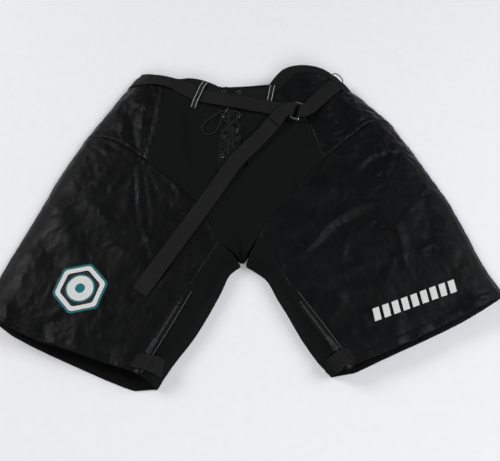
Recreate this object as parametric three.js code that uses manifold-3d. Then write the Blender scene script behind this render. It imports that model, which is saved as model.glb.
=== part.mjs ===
// Ice hockey pant shell, closed at the waist and laid flat on its back on a table.
// Millimetres. +X points to the wearer's left leg, +Y from the hems to the waist, +Z up off the table.
// The origin is under the middle of the garment, on the table.
import * as THREE from 'three';
import { mergeVertices } from 'three/addons/utils/BufferGeometryUtils.js';
import Module from 'manifold-3d';

// Driving dimensions
const cloth = 1.2; // thickness given to every fabric layer
const seamGap = 0.4; // each panel stops this far short of its seam line
const loft = 30; // height of the front layer over the back layer
const loftReach = 60; // distance from a side edge over which the front layer climbs
const innerReach = 24; // the same at the inside of the legs
const foldHeight = 3.2; // middle of the front layer above the table at a folded edge
const beltRise = 3; // how far the belt lifts the back of the waist
const collarRise = 13; // how far the left front of the waist stands up
const beltWidth = 32;
const webbing = 1.6; // thickness of the belt
const loopWidth = 14;
const laceDiameter = 3.4;
const wireDiameter = 3.2; // of the two belt rings
const ringInside = [15, 35]; // opening of a belt ring, along and across the belt
const eyeletHole = 2.3; // radius
const eyeletFlange = 5; // radius
const zipLength = 142;
const coilWidth = 5;
const coilHeight = 1.4;
const toothPitch = 4;
const badgeRadius = 52;
const markSize = [164, 24];

// Materials
function fabric(color, roughness) {
  return new THREE.MeshStandardMaterial({ color, roughness, metalness: 0, side: THREE.DoubleSide });
}
const nylon = fabric(0x17181b, 0.38);
const knit = fabric(0x141a18, 0.9);
const mesh = fabric(0x1e2024, 0.8);
const band = fabric(0x101112, 0.85);
const strap = fabric(0x1b1c1e, 0.7);
const lacing = fabric(0x1d2420, 0.8);
const zipCloth = fabric(0x121314, 0.8);
const steel = new THREE.MeshStandardMaterial({ color: 0xb9bcc0, roughness: 0.25, metalness: 1 });
const plastic = new THREE.MeshStandardMaterial({ color: 0x2a2b2e, roughness: 0.4, metalness: 0 });
const white = fabric(0xf2f3f2, 0.55);

const wasm = await Module();
wasm.setup();
const pants = new THREE.Group();

function add(name, material, geometry) {
  const piece = new THREE.Mesh(geometry, material);
  piece.name = name;
  pants.add(piece);
  return piece;
}

// Curves in plan: a smooth line through a few points, as an array of steps + 1 points
function smooth(points, steps) {
  const line = new THREE.SplineCurve(points.map(([x, y]) => new THREE.Vector2(x, y)));
  return line.getPoints(steps);
}

function join(...lines) {
  return lines.reduce((whole, line) => [...whole, ...line.slice(1)]);
}

function straight(a, b, steps) {
  return Array.from({ length: steps + 1 }, (_, i) => a.clone().lerp(b, i / steps));
}

// Outline and seams. Every line runs from the waist down, or from the wearer's right to the left.
const hipSteps = 8;
const yokeSteps = 10;
const riseSteps = 8;
const flySteps = riseSteps / 2;
const legSteps = 14;

const right = {
  sideHip: smooth([[-243, 314], [-268, 276], [-300, 224], [-331, 173]], riseSteps),
  sideLeg: smooth([[-331, 173], [-376, 81], [-397, 26], [-425, -44], [-455, -118], [-482, -197]], legSteps),
  hipSeam: smooth([[-331, 173], [-275, 157], [-217, 121], [-194, 104]], hipSteps),
  yokeSeam: smooth([[-194, 104], [-138, 58], [-98, 16], [-67, -28], [-48, -72]], yokeSteps),
  yokeSide: smooth([[-170, 292], [-174, 220], [-183, 166], [-194, 104]], riseSteps),
  zipSeam: smooth([
    [-48, -72], [-80, -130], [-108, -175],
    [-143, -240], [-178, -304], [-187, -320],
  ], legSteps),
  backSeam: smooth([[-48, -72], [-82, -132], [-114, -184], [-160, -275], [-193, -345]], legSteps),
  inseam: smooth([
    [-9, -109], [-31, -127], [-45, -160], [-68, -206],
    [-94, -252], [-126, -296], [-155, -342],
  ], legSteps),
  waistTop: smooth([
    [-229, 338], [-190, 318], [-150, 305],
    [-118, 308], [-89, 302], [-57, 287],
  ], hipSteps + yokeSteps),
  frontHem: smooth([[-482, -197], [-440, -228], [-377, -259], [-319, -278], [-243, -303], [-187, -320]],
    hipSteps + yokeSteps),
  backHem: smooth([
    [-482, -197], [-436, -236], [-379, -267],
    [-307, -299], [-232, -331], [-193, -345],
  ], hipSteps),
};
const left = {
  sideHip: smooth([[220, 302], [242, 279], [280, 237], [305, 210]], riseSteps),
  sideLeg: smooth([
    [305, 210], [345, 138], [384, 63], [403, 26],
    [429, -44], [452, -111], [482, -168],
  ], legSteps),
  hipSeam: smooth([[155, 109], [208, 158], [260, 200], [305, 210]], hipSteps),
  yokeSeam: smooth([[26, -57], [40, -28], [67, 3], [107, 54], [155, 109]], yokeSteps),
  yokeSide: smooth([[54, 262], [94, 246], [121, 222], [135, 171], [155, 109]], riseSteps),
  zipSeam: smooth([
    [26, -57], [43, -88], [68, -140], [93, -183],
    [132, -240], [172, -298], [180, -310],
  ], legSteps),
  backSeam: smooth([[26, -57], [46, -95], [72, -146], [110, -200], [195, -313]], legSteps),
  inseam: smooth([
    [2, -109], [30, -127], [46, -144], [61, -175],
    [79, -206], [103, -252], [132, -296], [155, -320],
  ], legSteps),
  waistTop: smooth([
    [-5, 284], [20, 280], [44, 284], [60, 306], [78, 325],
    [104, 332], [140, 332], [174, 328], [204, 320],
  ], hipSteps + yokeSteps),
  frontHem: smooth([[180, -310], [243, -286], [289, -266], [352, -237], [413, -207], [482, -168]],
    hipSteps + yokeSteps),
  backHem: smooth([[195, -313], [264, -281], [329, -252], [392, -222], [446, -191], [482, -168]], hipSteps),
};
const crotch = new THREE.Vector2(-4, -106);
const flyRight = smooth([[-57, 250], [-54, 183], [-55, 135], [-57, 80]], flySteps);
const flyLeft = smooth([[-5, 242], [-5, 183], [-7, 135], [6, 96]], flySteps);
const gussetRight = smooth([[-57, 80], [-53, 18], [-48, -72]], flySteps);
const gussetLeft = smooth([[6, 96], [16, 56], [22, -10], [26, -57]], flySteps);
const gussetTop = smooth([[-57, 80], [-36, 79], [6, 96]], yokeSteps);
const gussetFoot = join(
  straight(gussetRight[flySteps], crotch, yokeSteps / 2),
  straight(crotch, gussetLeft[flySteps], yokeSteps / 2),
);
const bandFootRight = join(
  smooth([[-243, 314], [-205, 296], [-170, 292]], hipSteps),
  smooth([[-170, 292], [-130, 280], [-90, 270], [-57, 250]], yokeSteps),
);
const bandFootLeft = join(
  smooth([[-5, 242], [24, 242], [54, 262]], yokeSteps),
  smooth([[54, 262], [80, 292], [104, 314], [140, 316], [176, 310], [220, 302]], hipSteps),
);
const seatRight = smooth([[-95, 282], [-88, 150], [-66, 30], [-48, -72]], riseSteps);
const seatLeft = smooth([[80, 288], [74, 150], [48, 30], [26, -57]], riseSteps);
const backBandTop = join(
  smooth([[-229, 338], [-190, 330], [-140, 324], [-95, 314]], hipSteps),
  smooth([[-95, 314], [-50, 310], [0, 312], [80, 320]], yokeSteps),
  smooth([[80, 320], [120, 332], [165, 332], [204, 320]], hipSteps),
);
const backBandFoot = join(
  smooth([[-243, 314], [-200, 304], [-140, 293], [-95, 282]], hipSteps),
  smooth([[-95, 282], [-50, 280], [0, 281], [80, 288]], yokeSteps),
  smooth([[80, 288], [120, 298], [170, 306], [220, 302]], hipSteps),
);

// Height of the two layers
const rightBandEnd = straight(right.waistTop[0], right.sideHip[0], 2);
const leftBandEnd = straight(left.waistTop[left.waistTop.length - 1], left.sideHip[0], 2);
const rightSide = join(rightBandEnd, right.sideHip, right.sideLeg);
const leftSide = join(leftBandEnd, left.sideHip, left.sideLeg);
const foldedEdges = [[rightSide, loftReach], [leftSide, loftReach],
  [join([...right.inseam].reverse(), left.inseam), innerReach]];

// The closed garment in plan, run on past the open waist and hems
const beyondHem = -420;
const outline = [new THREE.Vector2(-200, -beyondHem), ...rightSide, new THREE.Vector2(-520, beyondHem),
  new THREE.Vector2(-150, beyondHem), ...[...right.inseam].reverse(), ...left.inseam,
  new THREE.Vector2(150, beyondHem), new THREE.Vector2(520, beyondHem), ...[...leftSide].reverse(),
  new THREE.Vector2(180, -beyondHem)];

function inside(x, y) {
  let odd = false;
  outline.forEach((a, i) => {
    const b = outline[(i + 1) % outline.length];
    if ((a.y > y) !== (b.y > y) && x < a.x + ((y - a.y) / (b.y - a.y)) * (b.x - a.x)) odd = !odd;
  });
  return odd;
}

// Distance from the nearest folded edge as a share of the reach of that edge
function edgeShare(x, y) {
  const p = new THREE.Vector3(x, y, 0);
  const nearest = new THREE.Vector3();
  const run = new THREE.Line3();
  let least = Infinity;
  for (const [edge, reach] of foldedEdges) {
    for (let i = 1; i < edge.length; i += 1) {
      run.start.set(edge[i - 1].x, edge[i - 1].y, 0);
      run.end.set(edge[i].x, edge[i].y, 0);
      run.closestPointToPoint(p, true, nearest);
      least = Math.min(least, nearest.distanceTo(p) / reach);
    }
  }
  return least;
}

function backHeight(x, y) {
  return cloth / 2 + beltRise * THREE.MathUtils.smoothstep(y, 150, 262);
}

function frontHeight(x, y) {
  const reach = inside(x, y) ? Math.min(1, edgeShare(x, y)) : 0;
  const climb = 1 - (1 - reach) ** 2.2;
  const collar = collarRise * Math.exp(-(((x - 118) / 52) ** 2) - ((y - 335) / 44) ** 2);
  return backHeight(x, y) + foldHeight - cloth / 2 + climb * (loft + collar);
}

// A point held off the front layer along its normal; the distance is from the middle of the cloth
function onFront(x, y, off) {
  const h = 2;
  const slopeX = (frontHeight(x + h, y) - frontHeight(x - h, y)) / (2 * h);
  const slopeY = (frontHeight(x, y + h) - frontHeight(x, y - h)) / (2 * h);
  const normal = new THREE.Vector3(-slopeX, -slopeY, 1).normalize();
  return new THREE.Vector3(x, y, frontHeight(x, y)).addScaledVector(normal, off);
}

// A closed sheet of even thickness about a grid of points
function sheet(grid, thickness) {
  const rows = grid.length;
  const cols = grid[0].length;
  const positions = [];
  const at = (i, j) => grid[THREE.MathUtils.clamp(i, 0, rows - 1)][THREE.MathUtils.clamp(j, 0, cols - 1)];
  for (const side of [1, -1]) {
    for (let i = 0; i < rows; i += 1) {
      for (let j = 0; j < cols; j += 1) {
        const across = at(i, j + 1).clone().sub(at(i, j - 1));
        const along = at(i + 1, j).clone().sub(at(i - 1, j));
        const normal = across.cross(along).normalize();
        positions.push(...at(i, j).clone().addScaledVector(normal, (side * thickness) / 2).toArray());
      }
    }
  }
  const faces = [];
  const under = rows * cols;
  const quad = (a, b, c, d) => faces.push(a, b, c, a, c, d);
  for (let i = 0; i < rows - 1; i += 1) {
    for (let j = 0; j < cols - 1; j += 1) {
      const a = i * cols + j;
      quad(a, a + 1, a + cols + 1, a + cols);
      quad(under + a, under + a + cols, under + a + cols + 1, under + a + 1);
    }
  }
  const rim = [];
  for (let j = 0; j < cols - 1; j += 1) rim.push(j);
  for (let i = 0; i < rows - 1; i += 1) rim.push(i * cols + cols - 1);
  for (let j = cols - 1; j > 0; j -= 1) rim.push((rows - 1) * cols + j);
  for (let i = rows - 1; i > 0; i -= 1) rim.push(i * cols);
  rim.forEach((a, k) => {
    const b = rim[(k + 1) % rim.length];
    quad(a, under + a, under + b, b);
  });
  const geometry = new THREE.BufferGeometry();
  geometry.setAttribute('position', new THREE.Float32BufferAttribute(positions, 3));
  geometry.setIndex(faces);
  geometry.computeVertexNormals();
  return geometry;
}

// Pull the rim of a grid in, so that neighbouring panels keep apart at their shared seam
function inset(grid, gap) {
  const rows = grid.length;
  const cols = grid[0].length;
  const pull = (p, q) => p.add(q.clone().sub(p).setLength(gap));
  for (let j = 0; j < cols; j += 1) {
    pull(grid[0][j], grid[1][j]);
    pull(grid[rows - 1][j], grid[rows - 2][j]);
  }
  for (let i = 0; i < rows; i += 1) {
    pull(grid[i][0], grid[i][1]);
    pull(grid[i][cols - 1], grid[i][cols - 2]);
  }
  return grid;
}

// A panel blended between its four seam lines and laid on one of the two layers
function panel(name, material, { top, foot, start, end }, height) {
  const rows = start.length;
  const cols = top.length;
  const grid = start.map((_, i) => top.map((__, j) => {
    const v = i / (rows - 1);
    const u = j / (cols - 1);
    const p = top[j].clone().lerp(foot[j], v).add(start[i].clone().lerp(end[i], u));
    const corners = top[0].clone().lerp(top[cols - 1], u).lerp(foot[0].clone().lerp(foot[cols - 1], u), v);
    p.sub(corners);
    return new THREE.Vector3(p.x, p.y, height(p.x, p.y));
  }));
  return add(name, material, sheet(inset(grid, seamGap), cloth));
}

// Nylon and knit panels of the front
panel('right_hip_front', nylon, { top: bandFootRight.slice(0, hipSteps + 1), foot: right.hipSeam,
  start: right.sideHip, end: right.yokeSide }, frontHeight);
panel('left_hip_front', nylon, { top: bandFootLeft.slice(yokeSteps), foot: left.hipSeam,
  start: left.yokeSide, end: left.sideHip }, frontHeight);
panel('right_thigh_front', nylon, { top: join(right.hipSeam, right.yokeSeam), foot: right.frontHem,
  start: right.sideLeg, end: right.zipSeam }, frontHeight);
panel('left_thigh_front', nylon, { top: join(left.yokeSeam, left.hipSeam), foot: left.frontHem,
  start: left.zipSeam, end: left.sideLeg }, frontHeight);
panel('right_yoke', knit, { top: bandFootRight.slice(hipSteps), foot: right.yokeSeam,
  start: right.yokeSide, end: join(flyRight, gussetRight) }, frontHeight);
panel('left_yoke', knit, { top: bandFootLeft.slice(0, yokeSteps + 1), foot: left.yokeSeam,
  start: join(flyLeft, gussetLeft), end: left.yokeSide }, frontHeight);
panel('crotch_gusset', knit, { top: gussetTop, foot: gussetFoot, start: gussetRight,
  end: gussetLeft }, frontHeight);

// Panels of the back, and the seat between them
panel('right_back', nylon, { top: backBandFoot.slice(0, hipSteps + 1), foot: right.backHem,
  start: join(right.sideHip, right.sideLeg), end: join(seatRight, right.backSeam) }, backHeight);
panel('left_back', nylon, { top: backBandFoot.slice(hipSteps + yokeSteps), foot: left.backHem,
  start: join(seatLeft, left.backSeam), end: join(left.sideHip, left.sideLeg) }, backHeight);
panel('seat', knit, { top: backBandFoot.slice(hipSteps, hipSteps + yokeSteps + 1), foot: gussetFoot,
  start: seatRight, end: seatLeft }, backHeight);

// Inner-leg panels: each runs from the front zip seam round the inside of the leg to the back seam
function innerLeg(name, { zipSeam, inseam, backSeam }) {
  const grid = zipSeam.map((a, k) => {
    const edge = inseam[k];
    const outward = edge.clone().sub(a).normalize();
    const row = straight(a, edge, 6).map((p) => new THREE.Vector3(p.x, p.y, frontHeight(p.x, p.y)));
    const turn = edge.clone().addScaledVector(outward, cloth);
    row.push(new THREE.Vector3(turn.x, turn.y, (foldHeight + cloth / 2) / 2));
    straight(edge, backSeam[k], 4).forEach((p) => {
      row.push(new THREE.Vector3(p.x, p.y, backHeight(p.x, p.y)));
    });
    return row;
  });
  return add(name, knit, sheet(inset(grid, seamGap), cloth));
}
innerLeg('right_inner_leg', right);
innerLeg('left_inner_leg', left);

// Waistbands
panel('right_waistband', band, { top: right.waistTop, foot: bandFootRight, start: rightBandEnd,
  end: straight(right.waistTop[hipSteps + yokeSteps], flyRight[0], 2) }, frontHeight);
panel('left_waistband', band, { top: left.waistTop, foot: bandFootLeft,
  start: straight(left.waistTop[0], flyLeft[0], 2), end: leftBandEnd }, frontHeight);
panel('back_waistband', band, { top: backBandTop, foot: backBandFoot, start: rightBandEnd,
  end: leftBandEnd }, backHeight);

// Solids as manifold-3d values, for a hole or a join
function solid(geometry) {
  const bare = geometry.clone();
  bare.deleteAttribute('normal');
  bare.deleteAttribute('uv');
  const merged = mergeVertices(bare, 1e-4);
  const { array } = merged.getAttribute('position');
  return new wasm.Manifold(new wasm.Mesh({
    numProp: 3,
    vertProperties: new Float32Array(array),
    triVerts: new Uint32Array(merged.getIndex().array),
  }));
}

function fromSolid(body) {
  const made = body.getMesh();
  const geometry = new THREE.BufferGeometry();
  geometry.setAttribute('position', new THREE.BufferAttribute(made.vertProperties, 3));
  geometry.setIndex(new THREE.BufferAttribute(made.triVerts, 1));
  geometry.computeVertexNormals();
  return geometry;
}

// Lace-up fly: two plackets with four eyelets each, over a mesh tongue
const eyelets = {
  right: [[-46, 271], [-46, 214], [-46, 163], [-46, 118]],
  left: [[-14, 270], [-14, 214], [-14, 163], [-14, 120]],
};

function eyeletPlace([x, y]) {
  const place = new THREE.Object3D();
  place.position.copy(onFront(x, y, 0));
  place.lookAt(onFront(x, y, 10));
  place.updateMatrix();
  return place;
}

function placket(name, start, end, holes) {
  const top = straight(start[0], end[0], 4);
  const foot = straight(start[start.length - 1], end[end.length - 1], 4);
  const strip = panel(name, band, { top, foot, start, end }, frontHeight);
  let body = solid(strip.geometry);
  for (const hole of holes) {
    const punch = new THREE.CylinderGeometry(eyeletHole + 1, eyeletHole + 1, 12, 12);
    punch.rotateX(Math.PI / 2);
    punch.applyMatrix4(eyeletPlace(hole).matrix);
    body = body.subtract(solid(punch));
  }
  strip.geometry = fromSolid(body);
}
placket('right_fly_placket', join(straight(right.waistTop[hipSteps + yokeSteps], flyRight[0], 2), flyRight),
  smooth([[-39, 286], [-38, 180], [-37, 120], [-37, 83]], flySteps + 2), eyelets.right);
placket('left_fly_placket', smooth([[-24, 283], [-23, 180], [-25, 130], [-34, 83]], flySteps + 2),
  join(straight(left.waistTop[0], flyLeft[0], 2), flyLeft), eyelets.left);

const tongueDrop = 8.5; // below the plackets, leaving room for the lace between
const tongueRows = 10;
const tongueGrid = straight(new THREE.Vector2(-64, 262), new THREE.Vector2(-60, 90), tongueRows)
  .map((a, i) => straight(a, new THREE.Vector2(4, 256 - i * 16), 6)
    .map((p) => new THREE.Vector3(p.x, p.y, frontHeight(p.x, p.y) - tongueDrop)));
add('fly_tongue', mesh, sheet(tongueGrid, 1));

const flangeTop = cloth / 2 + 0.35;
const eyeletProfile = [
  [eyeletHole, -1.5], [eyeletFlange - 0.8, -1.5], [eyeletFlange - 0.8, -1], [eyeletHole + 0.6, -1],
  [eyeletHole + 0.6, flangeTop], [eyeletFlange, flangeTop], [eyeletFlange - 0.6, flangeTop + 0.6],
  [eyeletHole + 0.4, flangeTop + 0.7], [eyeletHole, flangeTop + 0.2], [eyeletHole, -1.5],
].map(([r, z]) => new THREE.Vector2(r, z));
for (const [side, holes] of Object.entries(eyelets)) {
  holes.forEach((hole, i) => {
    const ring = new THREE.LatheGeometry(eyeletProfile, 16);
    ring.rotateX(Math.PI / 2);
    const eyelet = add(`${side}_eyelet_${i + 1}`, steel, ring);
    const place = eyeletPlace(hole);
    eyelet.position.copy(place.position);
    eyelet.quaternion.copy(place.quaternion);
  });
}

// A strap through stations [x, y, heading of its width, layer, offset]. Layer 1 lies on the front of
// the garment at that offset, layer 0 runs under the back of the waist.
const beltUnder = 1.9; // middle of the belt above the table, behind the waist
function ribbon(name, material, stations, width, thickness, steps, columns = 4) {
  const route = new THREE.CatmullRomCurve3(stations.map(([x, y]) => new THREE.Vector3(x, y, 0)));
  const poses = stations.map(([, , h, layer, off]) => new THREE.Vector3(h, layer * 90, off));
  const pose = new THREE.CatmullRomCurve3(poses);
  const grid = [];
  for (let i = 0; i <= steps; i += 1) {
    const centre = route.getPoint(i / steps);
    const { x: heading, y: layer, z: off } = pose.getPoint(i / steps);
    const turn = THREE.MathUtils.degToRad(heading);
    const row = [];
    for (let j = 0; j <= columns; j += 1) {
      const reach = (j / columns - 0.5) * width;
      const x = centre.x + Math.cos(turn) * reach;
      const y = centre.y + Math.sin(turn) * reach;
      row.push(new THREE.Vector3(x, y, beltUnder).lerp(onFront(x, y, off), THREE.MathUtils.clamp(layer / 90, 0, 1)));
    }
    grid.push(row);
  }
  return add(name, material, sheet(grid, thickness));
}

const lie = cloth / 2 + 0.9 + webbing / 2; // middle of a strap lying on the front
const ringHeading = 72;
const ringLow = 4.6; // middle of the strap under the belt rings, and of the strap over them
const ringHigh = 15;
const ringMid = (ringLow + ringHigh) / 2;
ribbon('waist_belt', strap, [
  [57, 192, 138, 1, 10], [68, 205, 122, 1, 12.5], [81, 217, 96, 1, ringHigh], [95, 221, ringHeading, 1, ringHigh],
  [99.5, 219.5, ringHeading, 1, ringMid], [95, 221, ringHeading, 1, ringLow], [78, 225, 76, 1, ringLow],
  [10, 238, 78, 1, 5.6], [-40, 248, 78, 1, 5.6], [-72, 255, 78, 1, 5.2], [-92, 261, 74, 1, 3.4],
  [-118, 276, 62, 1, lie], [-150, 296, 68, 1, lie], [-190, 308, 76, 1, lie], [-228, 313, 62, 1, lie],
  [-243, 315, 58, 1, lie], [-248, 317, 58, 0.75, 1], [-248, 317, 58, 0.3, 0], [-243, 314, 58, 0, 0],
  [-226, 309, 62, 0, 0], [-150, 300, 80, 0, 0], [-60, 290, 86, 0, 0], [30, 290, 92, 0, 0], [110, 296, 100, 0, 0],
  [165, 298, 112, 0, 0], [196, 302, 124, 0, 0], [211, 311, 132, 0, 0], [216, 315, 132, 0.3, 0],
  [216, 315, 132, 0.75, 1.5], [211, 311, 132, 1, lie + 1.5], [196, 297, 132, 1, lie + 1.5], [176, 278, 133, 1, lie],
  [158, 258, 128, 1, lie + 1], [144, 237, 116, 1, 7], [131, 221, 92, 1, 12], [120, 214, 76, 1, ringHigh],
  [112.3, 215.4, ringHeading, 1, ringHigh], [107.8, 216.9, ringHeading, 1, ringMid],
  [112.3, 215.4, ringHeading, 1, ringLow], [124, 211.6, ringHeading, 1, ringLow],
], beltWidth, webbing, 156, 3);
ribbon('belt_tail', strap, [
  [55.8, 190.3, 138, 1, 10], [45, 176, 138, 1, 9], [20, 146, 141, 1, 7.6], [-19, 101, 144, 1, 7.2],
  [-46, 58, 146, 1, 5], [-70, 19, 148, 1, lie], [-120, -61, 148, 1, lie], [-191, -175, 148, 1, lie],
], beltWidth, webbing, 48);

// The two belt rings: flat steel loops between the folds of the strap
function wireLoop(outlinePoints, radius, sides = 8) {
  const positions = [];
  const faces = [];
  const count = outlinePoints.length;
  outlinePoints.forEach((p, i) => {
    const before = outlinePoints[(i + count - 1) % count];
    const after = outlinePoints[(i + 1) % count];
    const tangent = after.clone().sub(before).normalize();
    for (let k = 0; k < sides; k += 1) {
      const angle = (k / sides) * Math.PI * 2;
      const out = Math.cos(angle) * radius;
      positions.push(p.x + tangent.y * out, p.y - tangent.x * out, Math.sin(angle) * radius);
      const a = i * sides + k;
      const b = i * sides + ((k + 1) % sides);
      const c = ((i + 1) % count) * sides + ((k + 1) % sides);
      const d = ((i + 1) % count) * sides + k;
      faces.push(a, d, c, a, c, b);
    }
  });
  const geometry = new THREE.BufferGeometry();
  geometry.setAttribute('position', new THREE.Float32BufferAttribute(positions, 3));
  geometry.setIndex(faces);
  geometry.computeVertexNormals();
  return geometry;
}

function ringOutline() {
  const [along, across] = ringInside.map((size) => size / 2 + wireDiameter / 2);
  const corner = 6;
  const shape = new THREE.Shape();
  shape.moveTo(along, -across + 2);
  shape.lineTo(along, across - 2);
  shape.quadraticCurveTo(along, across, along - 2, across);
  shape.lineTo(-along + corner, across);
  shape.quadraticCurveTo(-along, across, -along, across - corner);
  shape.lineTo(-along, -across + corner);
  shape.quadraticCurveTo(-along, -across, -along + corner, -across);
  shape.lineTo(along - 2, -across);
  shape.quadraticCurveTo(along, -across, along, -across + 2);
  return shape.getPoints(4).slice(1);
}

// Axes lying on the front about a point: local Y follows the given direction, local Z leaves the cloth
function frontPlace(origin, along) {
  const up = onFront(origin.x, origin.y, 1).sub(onFront(origin.x, origin.y, 0));
  const across = along.clone().cross(up).normalize();
  return new THREE.Matrix4().makeBasis(across, along.clone().normalize(), across.clone().cross(along).normalize())
    .setPosition(origin);
}
const beltEdge = [-16, 16].map((reach) => {
  const turn = THREE.MathUtils.degToRad(ringHeading);
  return onFront(103.6 + Math.cos(turn) * reach, 218.2 + Math.sin(turn) * reach, 0);
});
[7.9, 11.6].forEach((off, i) => {
  const ring = add(`belt_ring_${i + 1}`, steel, wireLoop(ringOutline(), wireDiameter / 2));
  const place = frontPlace(onFront(103.6, 218.2, off), beltEdge[1].clone().sub(beltEdge[0]).normalize());
  ring.geometry.applyMatrix4(place);
});

// Belt loops: three on the front over the belt, two under the back of the waist
const tacked = cloth / 2 + 0.8; // middle of a loop where it is sewn down
ribbon('right_front_belt_loop', strap, [
  [-83, 303, 162, 1, tacked], [-87, 292, 162, 1, tacked + 1], [-91, 283, 162, 1, 5.6], [-97, 264, 162, 1, 6],
  [-104, 246, 162, 1, 5.6], [-107, 237, 162, 1, tacked + 1], [-110, 229, 162, 1, tacked],
], loopWidth, 0.8, 24, 2);
ribbon('left_front_belt_loop', strap, [
  [57, 288, 170, 1, tacked + 0.8], [55, 280, 171, 1, tacked + 1.5], [52, 264, 172, 1, tacked + 2.2],
  [49, 248, 173, 1, tacked + 1.5], [47, 238, 173, 1, tacked],
], loopWidth, 0.8, 16, 2);
ribbon('left_side_belt_loop', strap, [
  [178, 316, 42, 1, tacked + 0.8], [182, 311, 42, 1, tacked + 2.8], [187, 306, 42, 1, 6.4], [196, 297, 42, 1, 6.4],
  [205, 287, 42, 1, 6.8], [210, 282, 42, 1, tacked + 1.8], [215, 276, 42, 1, tacked],
], loopWidth, 0.8, 24, 2);

function backLoop(name, x, y) {
  const profile = [[-25, 2.3], [-19, 2.2], [-17.6, 0.4], [17.6, 0.4], [19, 2.2], [25, 2.3]];
  const grid = profile.map(([along, z]) => [-1, 0, 1]
    .map((side) => new THREE.Vector3(x + (side * loopWidth) / 2, y - along, z)));
  add(name, strap, sheet(grid, 0.8));
}
backLoop('right_back_belt_loop', -105, 295);
backLoop('left_back_belt_loop', 75, 293);

// Zips of the two legs, each in local axes: X across, Y from the hem to the thigh, Z off the cloth
const tapeWidth = 14;
const tapeThick = 0.6;
const tapeFoot = 8; // length of tape below the coil, at the hem
const coilFoot = tapeThick / 2 + 0.3;
const stopLength = 3;
const boxLength = 7; // of the retainer at the hem end
const sliderLength = 14;
const sliderWidth = 9.5;
const sliderRest = 39; // middle of the slider from the hem end of the coil, clear of the closed tab
const sliderTop = 2.9;
const bailHole = [4.4, 1.6]; // along the zip and off it
const bailWall = 1.6;
const bailWidth = 1.6;
const pullSize = [8, 22, 0.9];
const pullBar = 1.1;
const pullAxis = sliderTop + 0.1 + bailHole[1] / 2;

function box(width, length, height, x, y, z) {
  return new THREE.BoxGeometry(width, length, height).translate(x, y, z + height / 2);
}

function zipCoil() {
  const shape = new THREE.Shape();
  const half = coilWidth / 2;
  const count = Math.floor((zipLength - 4 * stopLength) / toothPitch);
  shape.moveTo(-half, stopLength);
  for (let i = 0; i < count; i += 1) {
    const y = stopLength + i * toothPitch;
    shape.lineTo(half - 0.8, y);
    shape.lineTo(half - 0.8, y + toothPitch / 2);
    shape.lineTo(half, y + toothPitch / 2);
    shape.lineTo(half, y + toothPitch);
  }
  shape.lineTo(-half, stopLength + count * toothPitch);
  return new THREE.ExtrudeGeometry(shape, { depth: coilHeight, bevelEnabled: false }).translate(0, 0, coilFoot);
}

function zipSlider() {
  const legs = sliderWidth / 2 - 1.4;
  const hollow = coilFoot + coilHeight + 0.3;
  const under = new THREE.Shape();
  [[-sliderWidth / 2, tapeThick / 2 + 0.35], [-legs, tapeThick / 2 + 0.35], [-legs, hollow], [legs, hollow],
    [legs, tapeThick / 2 + 0.35], [sliderWidth / 2, tapeThick / 2 + 0.35], [sliderWidth / 2, sliderTop],
    [-sliderWidth / 2, sliderTop]].forEach(([x, z], i) => (i ? under.lineTo(x, z) : under.moveTo(x, z)));
  const body = new THREE.ExtrudeGeometry(under, { depth: sliderLength, bevelEnabled: false })
    .rotateX(Math.PI / 2).translate(0, sliderLength / 2, 0);
  const outer = bailHole[0] / 2 + bailWall;
  const bail = solid(box(bailWidth, 2 * outer, bailHole[1] + 0.8, 0, 0, sliderTop - 0.1))
    .subtract(solid(box(bailWidth + 1, bailHole[0], bailHole[1], 0, 0, sliderTop + 0.1)));
  return fromSolid(solid(body).add(bail)).translate(0, sliderRest, 0);
}

function zipPull() {
  const [width, length, thick] = pullSize;
  const slot = [2.8, 5.4];
  const plate = solid(box(width, length, thick, 0, length / 2 - pullBar / 2, -thick / 2));
  const hole = solid(box(slot[0], slot[1], thick + 1, 0, pullBar / 2 + slot[1] / 2, -thick / 2 - 0.5));
  return fromSolid(plate.subtract(hole)).translate(0, sliderRest, pullAxis);
}

// Hem tab closing over the zip: sewn along one edge, arched over the slider, held by a hook patch
const arch = 7.9;
const flap = 5.1;
function tabGrid([sewnTop, freeTop, freeFoot, sewnFoot], [from, to], columns, rows, offset) {
  return Array.from({ length: rows + 1 }, (_, i) => Array.from({ length: columns + 1 }, (__, j) => {
    const v = i / rows;
    const u = from + ((to - from) * j) / columns;
    const a = new THREE.Vector2(...sewnTop).lerp(new THREE.Vector2(...freeTop), u);
    const p = a.lerp(new THREE.Vector2(...sewnFoot).lerp(new THREE.Vector2(...freeFoot), u), v);
    return onFront(p.x, p.y, offset(p));
  }));
}

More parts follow.
